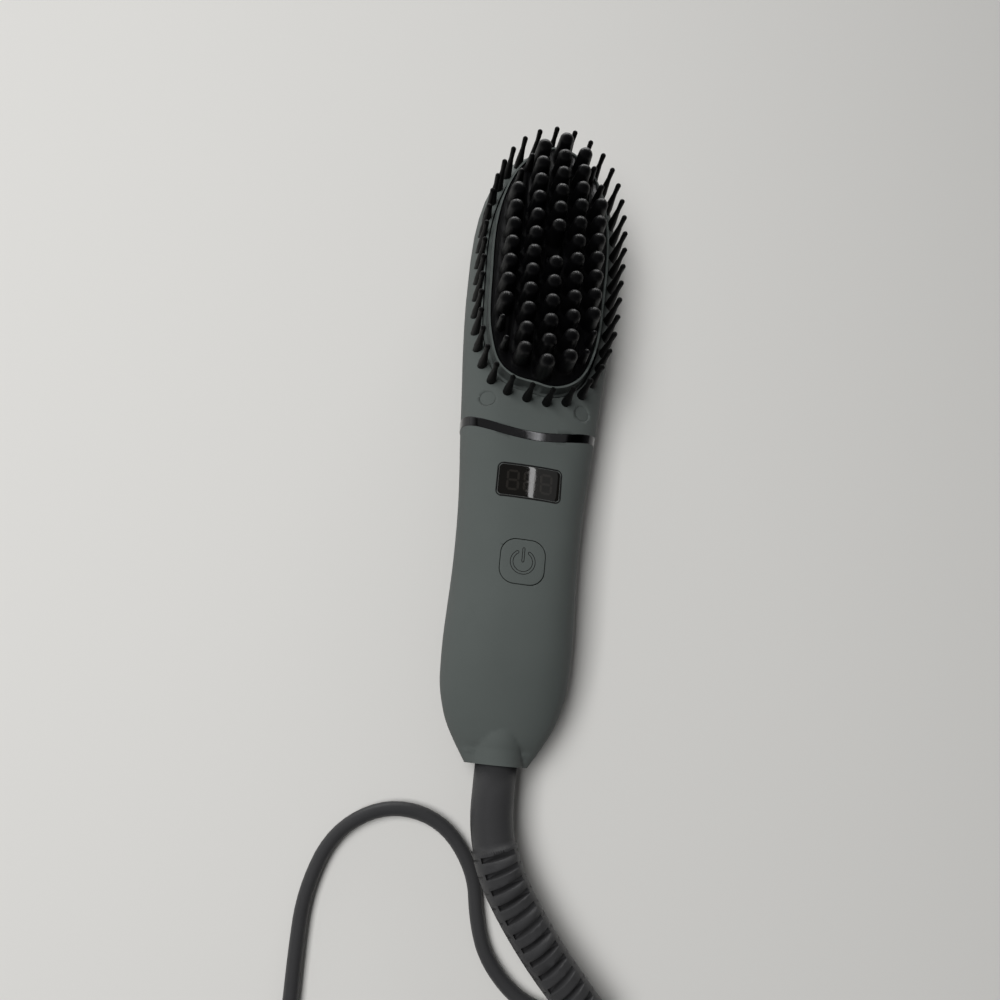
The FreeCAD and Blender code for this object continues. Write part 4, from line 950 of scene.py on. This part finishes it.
    def plug_body(self) -> Object:
        """The moulded plug: a round tail that swells into a flat grip with finger ribs.

        Half width and half height go from the tail's to the grip's by the eased share while the
        section squares up; the ribs are dips of a squared cosine; the face's edge is a quarter circle.

        Returns:
            The piece.
        """
        length, width, height = self.plug
        near_face = length - np.geomspace(0.02, self.face_edge, 6)
        on = np.unique(np.concatenate([np.linspace(0.0, length, self.plug_rings), near_face]))
        share = eased(np.clip((on - self.swell[0]) / self.swell[1], 0.0, 1.0))
        wave = np.cos(math.pi * (on - sum(self.ribs) / 2) / self.rib_pitch) ** 2
        ribs = np.where((on > self.ribs[0]) & (on < self.ribs[1]), wave, 0.0) * self.rib_depth
        past = np.maximum(on - length + self.face_edge, 0.0)
        edge = self.face_edge - np.sqrt(np.maximum(self.face_edge ** 2 - past ** 2, 0.0))
        half_y = self.tail + (width / 2 - self.tail) * share - ribs - edge
        half_z = self.tail + (height / 2 - self.tail) * share - edge
        aside, up = superellipse(half_y, half_z, self.powers[0] + self.powers[1] * share, self.plug_points)
        start = np.array(self.last[-1])
        rings = np.stack([start[0] + on[:, None] + 0 * aside, start[1] + aside, start[2] + up], -1)
        poles = [rings[i].mean(0, keepdims=True).repeat(self.plug_points, 0)[None] for i in (0, -1)]
        return solid("plug_moulding", [at_station(np.concatenate([poles[0], rings, poles[1]]))])

    def build(self) -> None:
        cord = own(self.cord(), CORD_PVC, stands_for=("power_cord", "cord_coil"))
        relief = carry("strain_relief", "strain_relief_sleeve", CORD_PVC)
        tie = own(self.tie(), TIE_STRAP, stands_for=("cord_tie",))
        plug = own(self.plug_body(), CORD_PVC, stands_for=("plug_body",))
        blades = carry("plug_blades", "plug_pins", PLATED_BRASS)


# ---- housing ----
@dataclass
class Housing:
    """The four shells, the band between head and handle, and the plugs over the neck screws.

    Attributes:
        shells: the shells that get a rounded copy.
        station: the band's middle on the centre line, and rise how far it climbs to the sides.
        across: half width that the wave is laid out on.
        band_half: half of the band's width, and band_wall its thickness.
        edge: radius of its long edges, and flat_half the half of its face that gets extra rings.
        sections: stations of the body's sections round the band.
        tops: height of the body at those sections, and fullness the exponent of its upper half.
        back_fullness: the exponent of its lower half.
        rest_depth: how far the back is flattened.
        face_rings: rings over the face and over each edge, and around the points on a ring.
        rounds: how often place and half width are worked out from each other.
    """

    shells: tuple[str, ...] = (
        "head_front_shell", "handle_front_shell", "head_back_shell", "handle_back_shell")
    station: float = 121.2
    rise: float = 5.6
    across: float = 26.9
    band_half: float = 1.9
    band_wall: float = 3.0
    edge: float = 0.25
    flat_half: float = 1.2
    sections: tuple[float, ...] = (108.0, 121.0, 133.016)
    tops: tuple[float, ...] = (29.85, 29.306, 28.93)
    fullness: tuple[float, ...] = (2.694, 2.749, 2.825)
    back_fullness: float = 2.35
    rest_depth: float = 0.7
    face_rings: int = 5
    around: int = 240
    rounds: int = 6

    def band(self, fairing: Fairing) -> Object:
        """The band: a strip that follows the body's section and a wave in plan.

        The section is a superellipse above the parting and another below it, flattened at the floor.
        A point of it lies at the band's station, plus its place across the strip, plus rise times
        (1 - cos(pi x / (2 across))). The strip's own outline is a flat face with rounded edges.

        Args:
            fairing: gives the half width at a station.

        Returns:
            The piece.
        """
        turn = quarter_turn(self.face_rings)
        edge_off, edge_in = self.band_half - self.edge * (1 - np.sin(turn)), self.edge * (1 - np.cos(turn))
        face = np.linspace(-self.flat_half, self.flat_half, self.face_rings)
        off = np.concatenate([-edge_off[::-1], face, edge_off, [self.band_half, -self.band_half]])[:, None]
        inset = np.concatenate([edge_in[::-1], 0 * face, edge_in, [self.band_wall, self.band_wall]])[:, None]
        angle = whole_turn(self.around)[None, :]
        cos, sin = np.cos(angle), np.sin(angle)
        x = self.across * cos + 0 * inset
        for _ in range(self.rounds):
            y = self.station + off + self.rise * (1 - np.cos(math.pi * x / (2 * self.across)))
            half = np.interp(y, fairing.at, fairing.half) * fairing.ratio(fairing.at, fairing.half, y) - inset
            power = np.where(sin >= 0, np.interp(y, self.sections, self.fullness), self.back_fullness)
            x = half * squared(cos, power)
        front = np.interp(y, self.sections, self.tops) - fairing.parting - inset
        back = fairing.parting + self.rest_depth - inset - np.where(inset > self.edge, self.rest_depth, 0.0)
        z = fairing.parting + np.where(sin >= 0, front, back) * squared(sin, power)
        return solid("band", [at_station(closed(np.stack([x, y, np.maximum(z, 0.0)], -1)))])

    def build(self) -> None:
        """Dress the housing."""
        fairing = Fairing()
        for node in self.shells:
            carry(node, node + "_painted", SOFT_TOUCH, fairing)
        carry("screw_plugs", "neck_plugs", SOFT_TOUCH)
        own(self.band(fairing), BLACK_CHROME, stands_for=("trim_band",))
        dress(ZINC, "neck_screws")


# ---- head ----
@dataclass
class BristleHead:
    """The ring of pins, the surround, the bristle plate, its centre screw and the heater under it.

    Attributes:
        head_radius: of the screw's head in millimetres, and head_height its height.
        dome: how far the head's top falls to its rim, and rim_drop where the rim begins.
        rim_rings: how far inside the rim the outer rings of the top lie.
        shank_radius: of its shank, and tip its chamfer.
        recess_width: width of an arm of the cross, recess_reach its half length, recess_depth its depth.
        recess_slopes: width of the slopes at an arm's sides and at its end.
        screw_rings: rings over the top, and screw_points the points on a ring.
    """

    head_radius: float = 2.4
    head_height: float = 1.5
    dome: float = 0.5
    rim_drop: float = 0.7
    rim_rings: Span = (0.15, 0.04)
    shank_radius: float = 1.25
    tip: float = 0.3
    recess_width: float = 0.8
    recess_reach: float = 1.5
    recess_depth: float = 0.9
    recess_slopes: Span = (0.12, 0.2)
    screw_rings: int = 26
    screw_points: int = 96

    def cross_screw(self) -> Object:
        """The centre screw: a domed head with a cross recess.

        The head's height falls with the square of the radius. Where a point lies within an arm of the
        cross, which two smooth steps of its distances to the arm's sides and end tell, it sinks.

        Returns:
            The piece.
        """
        low, high = (np.array(corner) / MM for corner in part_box("centre_screw"))
        centre, top = (low + high)[:2] / 2 * MM, high[2]
        seat = top - self.head_height
        inner = np.linspace(0.0, self.head_radius - self.rim_rings[0], self.screw_rings)
        radii = np.concatenate([inner, [self.head_radius - self.rim_rings[1]]])
        tops = [(r, top - self.dome * (r / self.head_radius) ** 2) for r in radii]
        tops.append((self.head_radius, top - self.rim_drop))
        profile = tops + [(self.head_radius, seat), (self.shank_radius, seat),
                          (self.shank_radius, low[2] + self.tip), (self.shank_radius - self.tip, low[2]),
                          (0.0, low[2])]
        rings = revolved(profile, tuple(centre), self.screw_points)
        plan = np.abs(rings[:len(tops), :, :2] - centre) / MM
        side, end = self.recess_slopes
        inside = (np.clip((self.recess_width / 2 - plan.min(-1)) / side + 0.5, 0, 1)
                  * np.clip((self.recess_reach - plan.max(-1)) / end, 0, 1))
        rings[:len(tops), :, 2] -= inside * self.recess_depth * MM
        return solid("cross_screw", [rings], Edge.SOFT)

    def build(self) -> None:
        """Build and dress the head."""
        carry("pin_comb", "guard_pins", NYLON)
        carry("plate_surround", "surround", SOFT_TOUCH)
        carry("bristle_plate", "bristles", CERAMIC_COAT)
        own(self.cross_screw(), BLACK_STEEL, stands_for=("centre_screw",))
        dress(FIRED, "heater_elements")
        dress(MICA, "mica_sheet")
        dress(GLASS, "thermistor")
        dress(ZINC, "heater_clamp", "clamp_screws", "thermal_fuse")


# ---- display and button ----
@dataclass
class ControlPanel:
    """The smoked window with its unlit digits, and the power button with its sign, drawn as dark lines of
    painted shade round its edges.

    Attributes:
        window: the window's plate; its size is the CAD node's.
        seal: radius of the black seal round the window, whose black is also painted shade for the gap round
            the pane, and seal_corner the radius of its corners.
        rim: radius of the pale line inside the seal, a painted highlight of the pane's edge, and rim_inset
            how far inside the pane it runs.
        cap: the button's face, and stem the radius, bottom and top of its stem.
        flange: the wider plate under the shell, its top at the cap's base.
        digit: width and height of a digit, pitch the step between digits, stroke a segment's width.
        digit_gap: gap at a segment's ends, and digit_points the points along it.
        digit_lift: how far a segment's top is above the window, and digit_sink its bottom below.
        sign_radius: middle of the sign's ring, sign_width the width of its stroke, sign_gap half of
            the ring's opening in degrees, and sign_points the points along it.
        bar: half length of the sign's bar, bar_at its middle, bar_shares its half width and corner
            as shares of the ring's half stroke.
        line: radius of the dark line, painted shade round the sign's edges.
    """

    window: Pad = Pad(12.08, 6.48, 2.48, 0.15, 27.4)
    seal: float = 0.27
    seal_corner: float = 1.9
    rim: float = 0.1
    rim_inset: float = 0.22
    cap: Pad = Pad(8.22, 8.22, 5.55, 0.15, 27.9)
    stem: Point = (2.0, 26.1, 27.9)
    stem_points: int = 24
    flange: Pad = Pad(9.3, 9.3, 6.55, 0.1, 27.0)
    digit: Span = (4.0, 7.4)
    digit_pitch: float = 6.4
    stroke: float = 0.9
    digit_gap: float = 0.15
    digit_points: int = 9
    digit_lift: float = 0.01
    digit_sink: float = 0.1
    sign_radius: float = 4.1
    sign_width: float = 1.0
    sign_gap: float = 33.0
    sign_points: int = 48
    bar: float = 2.7
    bar_at: float = 2.6
    bar_shares: Span = (0.8, 0.79)
    line: float = 0.15

    def segments(self, crown: Crown) -> list[Array]:
        """The unlit segments of three digits: thin bars with pointed ends that follow the window.

        A section at a place on the bar is a flat box; its half width is the stroke's, or what is left
        to the bar's end where that is less. Its top lies just above the crown, its bottom below it.

        Args:
            crown: the window's top.

        Returns:
            A shell for each segment.
        """
        width, height = self.digit
        bars = [(0, height / 2, 0), (0, 0, 0), (0, -height / 2, 0)]
        bars += [(x, y, 1) for y in (height / 4, -height / 4) for x in (-width / 2, width / 2)]
        lift = np.array([self.digit_lift] * 3 + [-self.digit_sink] * 2) * MM
        shells = []
        for number in (-1, 0, 1):
            for x, y, upright in bars:
                reach = (height / 4 if upright else width / 2) - self.digit_gap
                on = np.linspace(-reach, reach, self.digit_points)
                aside = np.minimum(self.stroke / 2, reach - np.abs(on))[:, None] * np.array([1, 0, -1, -1, 1])
                places = np.stack([on[:, None] + 0 * aside, aside][::-1 if upright else 1], -1)
                plan = (places + [x + number * self.digit_pitch, y]) * MM + crown.middle
                top = crown.height(plan[..., 0], plan[..., 1]) + lift
                shells.append(np.concatenate([plan, top[..., None]], -1))
        return shells

    def sign(self) -> list[Array]:
        """Outlines of the power sign, in plan: an open ring and a bar, each a closed path.

        The ring's outline runs round its outer circle, a half circle at the end, back along the inner
        circle and another half circle; the bar's is a thin rounded rectangle.

        Returns:
            The two paths, in millimetres.
        """
        half = self.sign_width / 2
        first = math.pi / 2 + math.radians(self.sign_gap)
        last = math.pi / 2 + 2 * math.pi - math.radians(self.sign_gap)
        sweep = np.linspace(first, last, self.sign_points)
        cap = np.linspace(0.0, math.pi, 8)[1:-1, None]
        ends = []
        for angle, side in ((sweep[-1], 1), (sweep[0], -1)):
            out = np.array([math.cos(angle), math.sin(angle)])
            on = np.array([-out[1], out[0]])
            ends.append(self.sign_radius * out + half * (np.cos(cap) * side * out + np.sin(cap) * side * on))
        circle = np.stack([np.cos(sweep), np.sin(sweep)], 1)
        ring = np.concatenate([circle * (self.sign_radius + half), ends[0],
                               circle[::-1] * (self.sign_radius - half), ends[1]])
        wide, corner = half * self.bar_shares[0], half * self.bar_shares[1]
        return [ring, rounded_outline(wide, self.bar, corner, 8, 5) + [0.0, self.bar_at]]

    def build(self) -> None:
        """Build and dress the panel."""
        glass, cap = Crown("display_window"), Crown("power_button")
        own(solid("window", [self.window.shell(glass)]), SMOKED, stands_for=("display_window",))
        own(solid("display_digits", self.segments(glass)), UNLIT)
        for name, out, radius, finish, slot in (
                # The black seal bead is also painted shade for the dark gap round the pane.
                ("window_seal_gap_shade", self.seal, self.seal, FOAM, "foam"),
                # The pale rim line is a painted highlight along the pane's edge.
                ("window_edge_highlight", -self.rim_inset, self.rim, WINDOW_EDGE_HIGHLIGHT, "window")):
            edge = rounded_outline(self.window.half_x + out, self.window.half_y + out, self.seal_corner + out)
            own(solid(name, [bead(edge * MM + glass.middle, radius * MM, glass)]), finish)
        level = Crown("power_button")
        level.terms = np.array([self.cap.base * MM, 0, 0, 0, 0, 0])
        radius, low, high = self.stem
        profile = [(0, high), (radius, high), (radius, low), (0, low)]
        stem = revolved(profile, tuple(cap.middle), self.stem_points)
        own(solid("button_cap", [self.cap.shell(cap), self.flange.shell(level), stem]), SOFT_TOUCH,
            Rides.BUTTON, ("power_button",))
        # The sign is drawn only as dark beads along its outlines: painted shade where its edges fall dark.
        beads = [bead(path * MM + cap.middle, self.line * MM, cap) for path in self.sign()]
        own(solid("power_sign_edge_shade", beads), SIGN_EDGE_SHADE, Rides.BUTTON)
        dress(FOAM, "display_gasket")
        dress(REFLECTOR, "display_module")
        dress(MOULDED_BLACK, "tact_switch", "switch_plunger")


# ---- inside of the handle ----
@dataclass
class InnerWorks:
    """The board with its parts, the leads, and the clamp that holds the cord's end."""

    finishes: tuple[tuple[Finish, str], ...] = (
        (SOLDER_MASK, "main_board"), (ZINC, "board_screws"), (MOULDED_BLACK, "power_relay"),
        (DIPPED, "filter_capacitor"), (SILICONE, "heater_leads"), (SILICONE, "mains_leads"),
        (CORD_PVC, "inner_cord"), (MOULDED_BLACK, "cord_clamp"), (ZINC, "clamp_bar_screws"),
    )

    def build(self) -> None:
        """Dress each inner piece."""
        for finish, node in self.finishes:
            dress(finish, node)


def main() -> None:
    """Build everything in order."""
    logging.basicConfig(level=logging.INFO, format="%(message)s")
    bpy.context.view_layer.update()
    studio = Studio()
    for part in (studio, MainsCord(), Housing(), BristleHead(), ControlPanel(), InnerWorks()):
        part.build()
    for lamp in studio.lamps:
        if lamp.only:
            lamp.flag()


if __name__ == "__main__":
    main()
